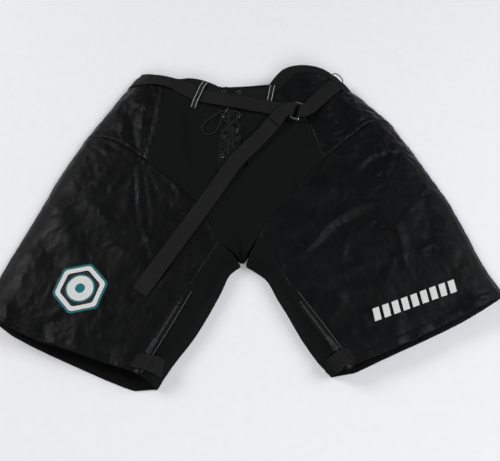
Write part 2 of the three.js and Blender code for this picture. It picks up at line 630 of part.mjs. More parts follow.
function legZip(side, foot, top, corners) {
  const start = onFront(...foot, 1.9);
  const place = frontPlace(start, onFront(...top, 1.9).sub(start).normalize());
  const put = (name, material, geometry) => add(`${side}_${name}`, material, geometry.applyMatrix4(place));
  const tapeLength = zipLength + tapeFoot;
  put('zip_tape', zipCloth, box(tapeWidth, tapeLength, tapeThick, 0, tapeLength / 2 - tapeFoot, -tapeThick / 2));
  put('zip_coil', plastic, zipCoil());
  put('zip_stop', steel, box(coilWidth, stopLength, coilHeight + 0.4, 0, zipLength - 1.5 * stopLength, coilFoot));
  put('zip_box', steel, box(coilWidth + 2, boxLength, coilHeight + 0.4, 0, 0.5 - boxLength / 2, coilFoot));
  put('zip_slider', steel, zipSlider());
  put('zip_pull', steel, zipPull());

  const line = new THREE.Vector2(...top).sub(new THREE.Vector2(...foot)).normalize();
  const inner = side === 'right' ? 1 : -1;
  const beside = (p) => inner * ((p.x - foot[0]) * line.y - (p.y - foot[1]) * line.x);
  const ramp = THREE.MathUtils.smoothstep;
  const lift = (p) => {
    const d = beside(p);
    return 1.55 + (arch - 1.55) * ramp(d, -12, -6.5) - (arch - flap) * ramp(d, 6.5, 13);
  };
  const turned = side === 'left';
  const face = (grid) => (turned ? grid.map((row) => row.reverse()) : grid);
  add(`${side}_hem_tab`, strap, sheet(face(tabGrid(corners, [0, 1], 18, 4, lift)), 1.2));
  const patch = turned ? [0.78, 0.95] : [0.62, 0.82];
  add(`${side}_hook_patch`, plastic, sheet(face(tabGrid(corners, patch, 2, 3, () => flap - 1.9)), 1.6));
  add(`${side}_loop_patch`, plastic, sheet(face(tabGrid(corners, patch, 2, 3, () => 1.7)), 1));
}
legZip('right', [-184, -315], [-108, -175], [[-186, -286], [-141, -294], [-149, -323], [-200, -310]]);
legZip('left', [178, -307], [93, -183], [[178, -275], [145, -294], [163, -317], [193, -298]]);

// Emblems: a round patch on the right thigh and a bar on the left one
const emblemLift = cloth / 2 + 0.75;
const badgeGrid = Array.from({ length: 13 }, (_, i) => Array.from({ length: 13 }, (__, j) => {
  const [a, b] = [j / 6 - 1, 1 - i / 6];
  const x = -299 + badgeRadius * a * Math.sqrt(1 - (b * b) / 2);
  const y = -166 + badgeRadius * b * Math.sqrt(1 - (a * a) / 2);
  return onFront(x, y, emblemLift);
}));
add('right_badge', white, sheet(badgeGrid, 0.7));
const markTurn = THREE.MathUtils.degToRad(20.5);
const markGrid = Array.from({ length: 5 }, (_, i) => Array.from({ length: 25 }, (__, j) => {
  const along = (j / 24 - 0.5) * markSize[0];
  const up = (0.5 - i / 4) * markSize[1];
  const x = 304 + along * Math.cos(markTurn) - up * Math.sin(markTurn);
  const y = -189 + along * Math.sin(markTurn) + up * Math.cos(markTurn);
  return onFront(x, y, emblemLift);
}));
add('left_mark', white, sheet(markGrid, 0.7));

// Fly lace: crossed over the tongue between the lower eyelets, tied in a bow below the belt
const laceLow = 3.8; // middle of the lace where it lies on the eyelets
const laceHigh = laceLow + laceDiameter + 0.4; // where it crosses over itself
const laceRoute = [
  [-16, 177, laceHigh + 1], [-14, 189, laceLow + 2], [-26, 197, laceLow + 1], [-38, 202, laceLow], [-34, 210, laceLow],
  [-46, 214, laceLow], [-46, 208, laceLow], [-30, 189, laceLow], [-14, 168, laceLow], [-12, 160, laceLow],
  [-30, 142, laceLow], [-45, 122, laceLow], [-42, 112, laceLow], [-30, 110, laceLow], [-16, 113, laceLow],
  [-17, 124, laceLow], [-30, 142, laceHigh], [-46, 158, laceLow], [-48, 168, laceLow], [-30, 190, laceHigh],
  [-15, 206, laceHigh], [-12, 216, laceLow + 1], [-24, 222, laceLow], [-43, 224, laceLow], [-59, 215, laceLow],
  [-75, 204, laceLow], [-86, 191, laceLow], [-89, 181, laceLow], [-85, 171, laceLow], [-79, 167, laceLow],
  [-68, 168, laceLow], [-59, 176, laceLow], [-55, 187, laceLow], [-50, 200, laceHigh], [-41, 218, laceHigh + 0.5],
];
const laceCurve = new THREE.CatmullRomCurve3(laceRoute.map(([x, y, off]) => onFront(x, y, off)));
const laceSteps = 80;
const laceRound = new THREE.Shape(Array.from({ length: 8 }, (_, i) => {
  const turn = (i / 8) * Math.PI * 2;
  return new THREE.Vector2(Math.cos(turn), Math.sin(turn)).multiplyScalar(laceDiameter / 2);
}));
add('fly_lace', lacing, new THREE.ExtrudeGeometry(laceRound, {
  steps: laceSteps, extrudePath: laceCurve, bevelEnabled: false,
}));
const tipLength = 12;
[[0, -1, 'lower'], [1, 1, 'upper']].forEach(([at, sign, where]) => {
  const out = laceCurve.getTangent(at).multiplyScalar(sign);
  const end = laceCurve.getPoint(at).addScaledVector(out, 0.3 + tipLength / 2);
  const tip = add(`lace_tip_${where}`, plastic, new THREE.CylinderGeometry(1.5, 1.5, tipLength, 10));
  tip.position.copy(end);
  tip.quaternion.setFromUnitVectors(new THREE.Vector3(0, 1, 0), out);
});

export default pants;
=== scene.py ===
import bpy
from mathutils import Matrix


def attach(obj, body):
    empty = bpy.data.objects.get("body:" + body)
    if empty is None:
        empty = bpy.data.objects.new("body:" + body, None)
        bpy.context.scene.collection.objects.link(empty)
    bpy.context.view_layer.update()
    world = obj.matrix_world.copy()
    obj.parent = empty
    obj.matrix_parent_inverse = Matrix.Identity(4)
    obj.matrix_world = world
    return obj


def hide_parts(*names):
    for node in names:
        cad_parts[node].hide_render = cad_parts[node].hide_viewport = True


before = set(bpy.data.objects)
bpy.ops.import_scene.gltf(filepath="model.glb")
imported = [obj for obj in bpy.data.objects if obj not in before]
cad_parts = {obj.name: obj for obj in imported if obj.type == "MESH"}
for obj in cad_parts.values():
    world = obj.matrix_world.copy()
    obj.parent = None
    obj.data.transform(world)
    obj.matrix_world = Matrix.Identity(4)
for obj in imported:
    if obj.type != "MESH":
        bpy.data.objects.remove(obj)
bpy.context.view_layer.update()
import math
import bmesh
import bpy
import numpy as np
from mathutils import Vector, noise
from mathutils.bvhtree import BVHTree
from mathutils.kdtree import KDTree

mm = 0.001
scene = bpy.context.scene
noise.seed_set(7)  # noise_vector would start from the clock, and each run would differ


# camera, floor and light

studio = {
    "lookAt": (0.009, -0.032, 0.0), "distance": 1.35, "elevation": 64, "lens": 50,
    "floorColour": (0.80, 0.80, 0.815), "floorSize": 12, "floorLevel": -0.4 * mm,
    "worldColour": (0.93, 0.95, 1.0), "worldStrength": 0.22, "watts": 42,
    "lamps": [  # name, place, size, colour
        ("leftSoftbox", (-2.2, 1.0, 1.8), 1.2, (1.0, 0.995, 0.98)),
        ("rightSoftbox", (2.2, 0.3, 1.9), 1.4, (0.97, 0.985, 1.0)),
        ("nearSoftbox", (0.2, -2.3, 2.1), 1.6, (1.0, 1.0, 1.0)),
    ],
}


def makeStudio(s):
    target = Vector(s["lookAt"])
    rise = math.radians(s["elevation"])
    cameraData = bpy.data.cameras.new("studioCamera")
    cameraData.lens = s["lens"]
    cameraData.sensor_width = 36
    camera = bpy.data.objects.new("studioCamera", cameraData)
    camera.location = target + Vector((0, -math.cos(rise), math.sin(rise))) * s["distance"]
    camera.rotation_euler = (math.pi / 2 - rise, 0, 0)
    scene.collection.objects.link(camera)
    scene.camera = camera
    bpy.ops.mesh.primitive_plane_add(size=s["floorSize"], location=(0, 0, s["floorLevel"]))
    floor = bpy.context.object
    floor.name = "studioFloor"
    for name, place, size, colour in s["lamps"]:
        data = bpy.data.lights.new(name, "AREA")
        data.shape = "DISK"
        data.size = size
        data.energy = s["watts"]
        data.color = colour
        lamp = bpy.data.objects.new(name, data)
        lamp.location = place
        lamp.rotation_euler = (-Vector(place)).to_track_quat("-Z", "Y").to_euler()
        scene.collection.objects.link(lamp)
    world = bpy.data.worlds.new("studioWorld")
    world.use_nodes = True
    back = world.node_tree.nodes["Background"]
    back.inputs[0].default_value = (*s["worldColour"], 1)
    back.inputs[1].default_value = s["worldStrength"]
    scene.world = world
    scene.view_settings.view_transform = "Standard"
    return floor


studioFloor = makeStudio(studio)


# shader maths

class Wire:  # one output socket in a shader expression
    def __init__(self, shop, socket):
        self.shop = shop
        self.socket = socket

    def maths(self, operation, *others, swap=False):
        values = [self, *others]
        if swap:
            values.reverse()
        return self.shop.node("ShaderNodeMath", {"operation": operation}, dict(enumerate(values)))

    def __add__(self, other):
        return self.maths("ADD", other)

    def __radd__(self, other):
        return self.maths("ADD", other)

    def __sub__(self, other):
        return self.maths("SUBTRACT", other)

    def __rsub__(self, other):
        return self.maths("SUBTRACT", other, swap=True)

    def __mul__(self, other):
        return self.maths("MULTIPLY", other)

    def __rmul__(self, other):
        return self.maths("MULTIPLY", other)

    def sine(self):
        return self.maths("SINE")

    def size(self):
        return self.maths("ABSOLUTE")

    def most(self, other):
        return self.maths("MAXIMUM", other)


class Finish:  # one material and the nodes in it
    def __init__(self, name):
        self.material = bpy.data.materials.new(name)
        self.material.use_nodes = True
        self.tree = self.material.node_tree
        self.shader = self.tree.nodes["Principled BSDF"]

    def node(self, kind, settings=None, inputs=None, output=0):
        made = self.tree.nodes.new(kind)
        for key, value in (settings or {}).items():
            setattr(made, key, value)
        for key, value in (inputs or {}).items():
            self.feed(made.inputs[key], value)
        return Wire(self, made.outputs[output])

    def feed(self, socket, value):
        if isinstance(value, Wire):
            self.tree.links.new(value.socket, socket)
        elif hasattr(value, "__len__") and len(value) == 3 and len(socket.default_value) == 4:
            socket.default_value = (*value, 1)
        else:
            socket.default_value = value

    def place(self, which="Object"):
        return self.node("ShaderNodeTexCoord", output=["Generated", "Normal", "UV", "Object"].index(which))

    def split(self, vector):
        first = self.node("ShaderNodeSeparateXYZ", {}, {0: vector})
        return [Wire(self, socket) for socket in first.socket.node.outputs]

    def scaled(self, vector, factors):
        return self.node("ShaderNodeVectorMath", {"operation": "MULTIPLY"}, {0: vector, 1: factors})

    def speckle(self, vector, scale, detail=2.0, roughness=0.5):
        return self.node("ShaderNodeTexNoise", {}, {"Vector": vector, "Scale": scale, "Detail": detail,
                                                     "Roughness": roughness})

    def mix(self, share, low, high):
        return self.node("ShaderNodeMix", {"data_type": "RGBA"}, {0: share, 6: low, 7: high}, output=2)

    def fit(self, value, low, high, toLow=0.0, toHigh=1.0):
        return self.node("ShaderNodeMapRange", {"interpolation_type": "SMOOTHSTEP"},
                         {"Value": value, "From Min": low, "From Max": high,
                          "To Min": toLow, "To Max": toHigh})

    def bump(self, height, distance, strength=1.0, under=None):
        inputs = {"Height": height, "Distance": distance, "Strength": strength}
        if under is not None:
            inputs["Normal"] = under
        return self.node("ShaderNodeBump", {}, inputs)

    def surface(self, **values):
        for key, value in values.items():
            self.feed(self.shader.inputs[key], value)
        return self.material


clothLook = {
    "nylon": {"colour": (0.0014, 0.0015, 0.0018), "worn": (0.0027, 0.0029, 0.0033), "rough": 0.45,
              "weave": 0.9 * mm},
    "knit": {"colour": (0.0010, 0.0014, 0.0013), "worn": (0.0022, 0.0028, 0.0026), "rough": 0.9,
             "rib": 1.25 * mm},
    "band": {"colour": (0.0018, 0.0020, 0.0021), "rough": 0.85, "twill": 0.9 * mm},
    "webbing": {"colour": (0.0019, 0.0020, 0.0018), "worn": (0.0042, 0.0044, 0.0038), "rough": 0.72},
}


def weaveHeight(f, place, pitch):  # plain weave in plan, 0 to 1
    x, y, _ = f.split(place)
    turn = math.tau / pitch
    across = (x * turn).sine()
    along = (y * turn).sine()
    return (across * along) * 0.5 + 0.5


def nylonFinish():
    look = clothLook["nylon"]
    f = Finish("satinNylon")
    place = f.place()
    weave = weaveHeight(f, place, look["weave"])
    drift = f.node("ShaderNodeVectorMath", {"operation": "ADD"},
                   {0: place, 1: f.scaled(f.speckle(place, 14, 3.0), (0.05, 0.05, 0.0))})
    crush = 1 - (f.speckle(f.scaled(drift, (1.0, 0.45, 1.0)), 34, 4.0, 0.6) * 2 - 1).size()
    fine = 1 - (f.speckle(f.scaled(drift, (0.5, 1.0, 1.0)), 90, 3.0, 0.6) * 2 - 1).size()
    patches = f.fit(f.speckle(place, 9, 3.0), 0.35, 0.7)
    colour = f.mix(patches * 0.6 + weave * 0.25, look["colour"], look["worn"])
    rough = f.fit(f.speckle(place, 30, 3.0), 0.3, 0.7, look["rough"] - 0.06, look["rough"] + 0.10)
    soft = f.bump(crush + fine * 0.3, 1.3 * mm, 0.6)
    normal = f.bump(weave, 0.05 * mm, 0.6, soft)
    f.shader.inputs["Specular IOR Level"].default_value = 0.115
    return f.surface(**{"Base Color": colour, "Roughness": rough, "Normal": normal})


def knitFinish():
    look = clothLook["knit"]
    f = Finish("stretchKnit")
    place = f.place()
    x, y, _ = f.split(place)
    rib = (x * (math.tau / look["rib"])).sine() * 0.5 + 0.5
    loop = ((y * (math.tau / look["rib"]) + rib * 1.2).sine()) * 0.5 + 0.5
    stitch = rib * 0.6 + loop * 0.4
    fuzz = f.speckle(place, 160, 3.0, 0.6)
    shade = f.fit(f.speckle(place, 14, 3.0), 0.3, 0.7)
    colour = f.mix(shade * 0.5 + stitch * 0.4, look["colour"], look["worn"])
    normal = f.bump(fuzz, 0.25 * mm, 0.5, f.bump(stitch, 0.22 * mm, 0.8))
    f.shader.inputs["Sheen Weight"].default_value = 0.008
    f.shader.inputs["Specular IOR Level"].default_value = 0.14
    return f.surface(**{"Base Color": colour, "Roughness": look["rough"], "Normal": normal})


def bandFinish(name="foldedBand", lift=1.0):
    look = clothLook["band"]
    f = Finish(name)
    place = f.place()
    x, y, _ = f.split(place)
    twill = ((x + y) * (math.tau / look["twill"])).sine() * 0.5 + 0.5
    shade = f.fit(f.speckle(place, 20, 3.0), 0.3, 0.7)
    low = tuple(v * lift for v in look["colour"])
    high = tuple(v * 1.7 * lift for v in look["colour"])
    colour = f.mix(shade * 0.5 + twill * 0.4, low, high)
    f.shader.inputs["Specular IOR Level"].default_value = 0.2
    return f.surface(**{"Base Color": colour, "Roughness": look["rough"],
                        "Normal": f.bump(twill, 0.14 * mm, 0.8)})


def webbingFinish(name="beltWebbing", lift=1.0):
    look = clothLook["webbing"]
    f = Finish(name)
    uv = f.place("UV")  # metres along and across the strap
    along, across, _ = f.split(uv)
    turn = math.tau / (2.4 * mm)
    herring = (across * (math.tau / (8 * mm))).sine().size() * 2.2
    rib = ((along * turn + herring * 2).sine()) * 0.5 + 0.5
    cord = ((across * (math.tau / (1.3 * mm))).sine()) * 0.5 + 0.5
    fuzz = f.speckle(f.place(), 240, 2.0)
    wear = f.fit(f.speckle(f.place(), 26, 4.0), 0.42, 0.72)
    low = tuple(v * lift for v in look["colour"])
    high = tuple(v * lift for v in look["worn"])
    colour = f.mix(rib * 0.35 + wear * 0.5, low, high)
    normal = f.bump(fuzz, 0.12 * mm, 0.4, f.bump(rib * 0.6 + cord * 0.4, 0.28 * mm, 0.85))
    f.shader.inputs["Specular IOR Level"].default_value = 0.2
    return f.surface(**{"Base Color": colour, "Roughness": look["rough"], "Normal": normal})


def meshFinish():  # open spacer mesh of the tongue
    f = Finish("spacerMesh")
    place = f.place()
    holes = f.node("ShaderNodeTexVoronoi", {"feature": "F1"}, {"Vector": place, "Scale": 420})
    strands = f.fit(holes, 0.25, 0.5)
    colour = f.mix(strands, (0.0018, 0.002, 0.002), (0.011, 0.012, 0.0118))
    return f.surface(**{"Base Color": colour, "Roughness": 0.8, "Normal": f.bump(strands, 0.35 * mm, 0.9)})


def metalFinish(name, base, rough):
    f = Finish(name)
    place = f.place()
    scuff = f.speckle(f.scaled(place, (1, 1, 4)), 380, 4.0, 0.7)
    f.shader.inputs["Metallic"].default_value = 1.0
    worn = f.fit(scuff, 0.45, 0.7, rough, rough + 0.22)
    tint = f.mix(f.fit(f.speckle(place, 90), 0.3, 0.7), base, tuple(v * 0.8 for v in base))
    return f.surface(**{"Base Color": tint, "Roughness": worn, "Normal": f.bump(scuff, 0.05 * mm, 0.4)})


def plasticFinish(name, base, rough):
    f = Finish(name)
    place = f.place()
    grain = f.speckle(place, 300, 3.0)
    tint = f.mix(grain, base, tuple(v * 1.5 for v in base))
    return f.surface(**{"Base Color": tint, "Roughness": f.fit(grain, 0.3, 0.7, rough, rough + 0.15),
                        "Normal": f.bump(grain, 0.06 * mm, 0.5)})


def hookFinish(name, pile):
    f = Finish(name)
    dots = f.node("ShaderNodeTexVoronoi", {"feature": "F1"}, {"Vector": f.place(), "Scale": pile})
    high = f.fit(dots, 0.1, 0.5, 1.0, 0.0)
    colour = f.mix(high, (0.004, 0.004, 0.0045), (0.014, 0.014, 0.015))
    return f.surface(**{"Base Color": colour, "Roughness": 0.7, "Normal": f.bump(high, 0.5 * mm, 0.9)})


def threadFinish(name, base):
    f = Finish(name)
    twist = f.node("ShaderNodeTexWave", {"bands_direction": "DIAGONAL"}, {"Vector": f.place(), "Scale": 900})
    colour = f.mix(twist, tuple(v * 0.55 for v in base), base)
    f.shader.inputs["Specular IOR Level"].default_value = 0.25
    return f.surface(**{"Base Color": colour, "Roughness": 0.6, "Normal": f.bump(twist, 0.08 * mm, 0.6)})


def laceFinish():
    f = Finish("braidedLace")
    along, around, _ = f.split(f.place("UV"))
    one = ((along * (math.tau / (3.2 * mm)) + around * math.tau * 3).sine()) * 0.5 + 0.5
    two = ((along * (math.tau / (3.2 * mm)) - around * math.tau * 3).sine()) * 0.5 + 0.5
    braid = one.most(two)
    colour = f.mix(braid, (0.0035, 0.0040, 0.0038), (0.0135, 0.0150, 0.0142))
    f.shader.inputs["Specular IOR Level"].default_value = 0.15
    return f.surface(**{"Base Color": colour, "Roughness": 0.68, "Normal": f.bump(braid, 0.3 * mm, 0.9)})


def floorFinish():
    f = Finish("paleBoard")
    grain = f.speckle(f.place(), 55, 4.0)
    pale = studio["floorColour"]
    tone = f.mix(f.fit(grain, 0.35, 0.65), pale, tuple(v * 0.985 for v in pale))
    return f.surface(**{"Base Color": tone, "Roughness": 0.8})


nylon = nylonFinish()
knit = knitFinish()
band = bandFinish()
webbing = webbingFinish()
webbingPale = webbingFinish("faceWebbing", 1.35)
spacerMesh = meshFinish()
nickel = metalFinish("wornNickel", (0.30, 0.30, 0.31), 0.24)
eyeletMetal = metalFinish("darkEyelet", (0.17, 0.17, 0.175), 0.15)
blackMetal = metalFinish("blackenedMetal", (0.10, 0.10, 0.105), 0.3)
coilPlastic = plasticFinish("coilPlastic", (0.007, 0.007, 0.0075), 0.34)
# the pale grey of the zip piping is a painted highlight: it stands in for the sheen line along each zip
pipingCord = plasticFinish("pipingCord", (0.045, 0.046, 0.048), 0.4)
tipPlastic = plasticFinish("tipPlastic", (0.012, 0.012, 0.013), 0.3)
hookTape = hookFinish("hookTape", 900)
loopTape = hookFinish("loopTape", 650)
blackThread = threadFinish("blackThread", (0.0075, 0.0078, 0.0085))
greyThread = threadFinish("greyThread", (0.022, 0.0225, 0.024))
whiteThread = threadFinish("whiteThread", (0.75, 0.76, 0.75))
lace = laceFinish()
studioFloor.data.materials.append(floorFinish())
print("finishes made")


# plain helpers: easing, curves through points, and making a mesh object

def ease(x, low, high):
    t = np.clip((x - low) / (high - low), 0, 1)
    return t * t * (3 - 2 * t)


def throughPoints(points, steps):  # centripetal Catmull-Rom through rows that start with x and y
    rows = np.array(points, float)
    rows = np.vstack([2 * rows[0] - rows[1], rows, 2 * rows[-1] - rows[-2]])
    gap = np.maximum(np.linalg.norm(np.diff(rows[:, :2], axis=0), axis=1), 0.5) ** 0.5
    knot = np.concatenate([[0], np.cumsum(gap)])
    made = []
    for t in np.linspace(knot[1], knot[-2], steps + 1):
        i = int(np.clip(np.searchsorted(knot, t, side="right") - 1, 1, len(rows) - 3))
        k = knot[i - 1:i + 3]
        p = rows[i - 1:i + 3]
        a = [((k[j + 1] - t) * p[j] + (t - k[j]) * p[j + 1]) / (k[j + 1] - k[j]) for j in range(3)]
        b = [((k[j + 2] - t) * a[j] + (t - k[j]) * a[j + 1]) / (k[j + 2] - k[j]) for j in range(2)]
        made.append(((k[2] - t) * b[0] + (t - k[1]) * b[1]) / (k[2] - k[1]))
    return np.array(made)


def settle(piece, body, slotName, *nodes):
    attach(piece, body)
    if nodes:
        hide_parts(*nodes)
    return piece


def meshPiece(name, points, faces, finish, uv=None, smooth=True):
    data = bpy.data.meshes.new(name)
    data.from_pydata([tuple(p) for p in points], [], faces)
    data.update()
    if uv is not None:
        layer = data.uv_layers.new(name="lay")
        for loop in data.loops:
            layer.data[loop.index].uv = uv[loop.vertex_index]
    for polygon in data.polygons:
        polygon.use_smooth = smooth
    data.materials.append(finish)
    piece = bpy.data.objects.new(name, data)
    scene.collection.objects.link(piece)
    return piece


def flyLevel(y):  # height of the flat cloth about the fly, in metres; y in metres
    return (33.8 + 3 * ease(np.array([y / mm]), 150, 262)[0]) * mm


# lace cord and its tips

laceSettings = {"diameter": 3.4 * mm, "length": 0.53, "low": 3.2, "high": 6.9, "steps": 420, "easing": 6}


def laceRoute():
    low, high = laceSettings["low"], laceSettings["high"]
    stations = [
        (-16, 177, high + 1), (-14, 189, low + 2), (-27, 196, low + 1), (-37, 201, low), (-34, 213, low),
        (-44, 217, low), (-49, 209, low), (-30, 187, low), (-14, 168, low), (-12, 160, low), (-30, 142, low),
        (-45, 122, low), (-42, 112, low), (-30, 110, low), (-18, 112, low), (-16, 124, low), (-30, 142, high),
        (-46, 158, low), (-48, 168, low), (-30, 190, high), (-15, 206, high), (-12, 216, low + 1),
        (-24, 222, low), (-43, 224, low), (-59, 215, low - 0.4), (-75, 204, low - 0.8), (-86, 191, low - 0.8),
        (-89, 181, low - 0.8), (-85, 171, low - 0.8), (-79, 167, low - 0.8), (-68, 168, low - 0.8),
        (-59, 176, low), (-55, 187, low),
        (-50, 200, high), (-41, 218, high + 0.5),
    ]
    rows = throughPoints(stations, laceSettings["steps"])
    line = np.array([(x * mm, y * mm, flyLevel(y * mm) + off * mm - 0.6 * mm) for x, y, off in rows])
    run = np.concatenate([[0], np.cumsum(np.linalg.norm(np.diff(line, axis=0), axis=1))])
    even = np.linspace(0, run[-1], len(line))
    line = np.stack([np.interp(even, run, line[:, k]) for k in range(3)], axis=1)
    for _ in range(laceSettings["easing"]):  # no turn is then tighter than about two diameters
        line[1:-1] = 0.5 * line[1:-1] + 0.25 * (line[:-2] + line[2:])
    return [Vector(p) for p in line]


def tubeMesh(name, path, radius, finish, sides=10):
    points, faces, uv = [], [], []
    tangent = (path[1] - path[0]).normalized()
    normal = tangent.orthogonal().normalized()
    run = 0.0
    for i, p in enumerate(path):
        ahead = (path[min(i + 1, len(path) - 1)] - path[max(i - 1, 0)]).normalized()
        normal = (normal - ahead * normal.dot(ahead)).normalized()
        across = ahead.cross(normal)
        if i:
            run += (p - path[i - 1]).length
        for k in range(sides):
            angle = math.tau * k / sides
            points.append(p + normal * (math.cos(angle) * radius) + across * (math.sin(angle) * radius))
            uv.append((run, k / sides))
    for i in range(len(path) - 1):
        for k in range(sides):
            a, b = i * sides + k, i * sides + (k + 1) % sides
            faces.append((a, b, b + sides, a + sides))
    faces.append(tuple(reversed(range(sides))))
    faces.append(tuple((len(path) - 1) * sides + k for k in range(sides)))
    return meshPiece(name, points, faces, finish, uv)


lacePath = laceRoute()
lacePiece = tubeMesh("flyLaceCord", lacePath, laceSettings["diameter"] / 2, lace)
settle(lacePiece, "shell", "lace_cord", "fly_lace")
tipProfile = [  # way along, radius
    (0.0, 1.62), (0.8, 1.9), (2.0, 1.72), (11.0, 1.55), (12.0, 1.2), (12.4, 0.4),
]
for name, node, end, before in (("laceTipLower", "lace_tip_lower", lacePath[0], lacePath[3]),
                                ("laceTipUpper", "lace_tip_upper", lacePath[-1], lacePath[-4])):
    out = (end - before).normalized()
    out.z *= 0.3
    out.normalize()
    path = [end + out * ((d - 1.0) * mm) for d, _ in tipProfile]
    tip = tubeMesh(name, path, 1.0, tipPlastic, 12)
    for i, (_, r) in enumerate(tipProfile):
        for k in range(12):
            v = tip.data.vertices[i * 12 + k]
            v.co = path[i] + (v.co - path[i]) * (r * mm)
    settle(tip, "shell", "lace_tip", node)
laceLength = sum((b - a).length for a, b in zip(lacePath, lacePath[1:]))
print("lace length", round(laceLength, 4))
print("lace made")


# the garment's cloth, taken from the frame's panels

panels = {  # node: (finish, side the outside faces)
    "right_hip_front": (nylon, 1), "left_hip_front": (nylon, 1),
    "right_thigh_front": (nylon, 1), "left_thigh_front": (nylon, 1),
    "right_yoke": (knit, 1), "left_yoke": (knit, 1), "crotch_gusset": (knit, 1),
    "right_inner_leg": (knit, 1), "left_inner_leg": (knit, 1),
    "right_waistband": (band, 1), "left_waistband": (band, 1),
    "right_back": (nylon, -1), "left_back": (nylon, -1),
    "seat": (knit, -1), "back_waistband": (band, -1),
}
clothSettings = {
    "rim": 1.6 * mm, "cuts": 1, "longest": 8.5 * mm, "weld": 1.7 * mm, "thick": 1.0 * mm,
    "grow": -0.035, "frames": 22, "cap": 5.0 * mm, "cutEase": 1.03, "cutFill": 0.9,
}


def outsideOf(node, side):  # the outer skin of a thin closed panel, as points and faces
    work = bmesh.new()
    work.from_mesh(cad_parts[node].data)
    bmesh.ops.remove_doubles(work, verts=work.verts, dist=1e-6)
    thin = [f for f in work.faces if min(e.calc_length() for e in f.edges) < clothSettings["rim"]]
    bmesh.ops.delete(work, geom=thin, context="FACES")
    islands, seen = [], set()
    for start in work.faces:
        if start.index in seen:
            continue
        island, stack = [], [start]
        seen.add(start.index)
        while stack:
            face = stack.pop()
            island.append(face)
            for edge in face.edges:
                for other in edge.link_faces:
                    if other.index not in seen:
                        seen.add(other.index)
                        stack.append(other)
        islands.append(island)
    islands.sort(key=len, reverse=True)
    level = [max(side * v.co.z for f in island for v in f.verts) for island in islands[:2]]
    keep = islands[int(np.argmax(level))]
    points, faces, index = [], [], {}
    for face in keep:
        for v in face.verts:
            if v not in index:
                index[v] = len(points)
                points.append(v.co.copy())
        faces.append([index[v] for v in face.verts])
    work.free()
    return points, faces


def garmentShell():
    shell = bmesh.new()
    which = shell.faces.layers.int.new("panel")
    for number, (node, (_, side)) in enumerate(panels.items()):
        points, faces = outsideOf(node, side)
        made = [shell.verts.new(p) for p in points]
        for f in faces:
            try:
                face = shell.faces.new([made[i] for i in f])
                face[which] = number
            except ValueError:  # two flaps on the same three points
                pass
    shell.verts.ensure_lookup_table()
    return shell, which


def weldNeighbours(shell, which):  # join each rim point to its nearest partner on another panel
    rim = [v for v in shell.verts if v.is_boundary]
    owner = {v: v.link_faces[0][which] for v in rim}
    front = {v: panels[panelNames[owner[v]]][1] for v in rim}
    plan = {1: [v for v in rim if front[v] > 0], -1: [v for v in rim if front[v] < 0]}
    backTree = KDTree(len(plan[-1]))
    for i, v in enumerate(plan[-1]):
        backTree.insert((v.co.x, v.co.y, 0), i)
    backTree.balance()
    for v in plan[1]:
        if panelNames[owner[v]].endswith("inner_leg") or v.co.z > 16 * mm:
            continue
        _, i, far = backTree.find((v.co.x, v.co.y, 0))
        if far < clothSettings["weld"]:
            other = plan[-1][i]
            height = (v.co.z + other.co.z) / 2
            v.co.z = height
            other.co.z = height
    tree = KDTree(len(rim))
    for i, v in enumerate(rim):
        tree.insert(v.co, i)
    tree.balance()

    def partners(v):
        found = {}
        for _, i, far in tree.find_range(v.co, clothSettings["weld"]):
            other = rim[i]
            if owner[other] != owner[v] and owner[other] not in found:
                found[owner[other]] = other
        return found
    near = {v: partners(v) for v in rim}
    leader = {v: v for v in rim}

    def lead(v):
        while leader[v] is not v:
            v = leader[v]
        return v
    for v in rim:
        for other in near[v].values():
            if near[other].get(owner[v]) is v:
                a, b = lead(v), lead(other)
                if a is not b:
                    leader[b] = a
    groups = {}
    for v in rim:
        groups.setdefault(lead(v), []).append(v)
    target = {}
    for head, members in groups.items():
        middle = sum((v.co for v in members), Vector()) / len(members)
        head.co = middle
        for v in members:
            if v is not head:
                target[v] = head
    bmesh.ops.weld_verts(shell, targetmap=target)


panelNames = list(panels)
garment, panelLayer = garmentShell()
bmesh.ops.subdivide_edges(garment, edges=garment.edges[:], cuts=clothSettings["cuts"], use_grid_fill=True)
weldNeighbours(garment, panelLayer)
loose = [v for v in garment.verts if not v.link_faces]
bmesh.ops.delete(garment, geom=loose, context="VERTS")
for _ in range(4):  # the wide panels get as many points as the narrow ones
    long = [e for e in garment.edges if e.calc_length() > clothSettings["longest"]]
    if long:
        bmesh.ops.subdivide_edges(garment, edges=long, cuts=1)
        bmesh.ops.triangulate(garment, faces=[f for f in garment.faces if len(f.verts) > 4])
bmesh.ops.recalc_face_normals(garment, faces=garment.faces[:])
garment.verts.ensure_lookup_table()
garment.faces.ensure_lookup_table()
top = max(garment.faces, key=lambda f: f.calc_center_median().z)
if top.normal.z < 0:
    bmesh.ops.reverse_faces(garment, faces=garment.faces[:])
garment.normal_update()
print("garment welded", len(garment.verts), "points", len(garment.faces), "faces")


def lineDistance(points, lines):  # distance in plan of each point from the nearest of some lines
    least = np.full(len(points), 1e9)
    for line in lines:
        for a, b in zip(line[:-1], line[1:]):
            a, b = np.array(a, float), np.array(b, float)
            run = b - a
            t = np.clip(((points - a) @ run) / max(run @ run, 1e-12), 0, 1)
            least = np.minimum(least, np.linalg.norm(points - (a + t[:, None] * run), axis=1))
    return least


zipLines = {"right": ((-184, -315), (-108, -175)), "left": ((178, -307), (93, -183))}
tabPlan = {"right": ((-186, -286), (-141, -294), (-149, -323), (-200, -310)),
           "left": ((178, -275), (145, -294), (163, -317), (193, -298))}
flyLine = ((-30, 300), (-30, 96))


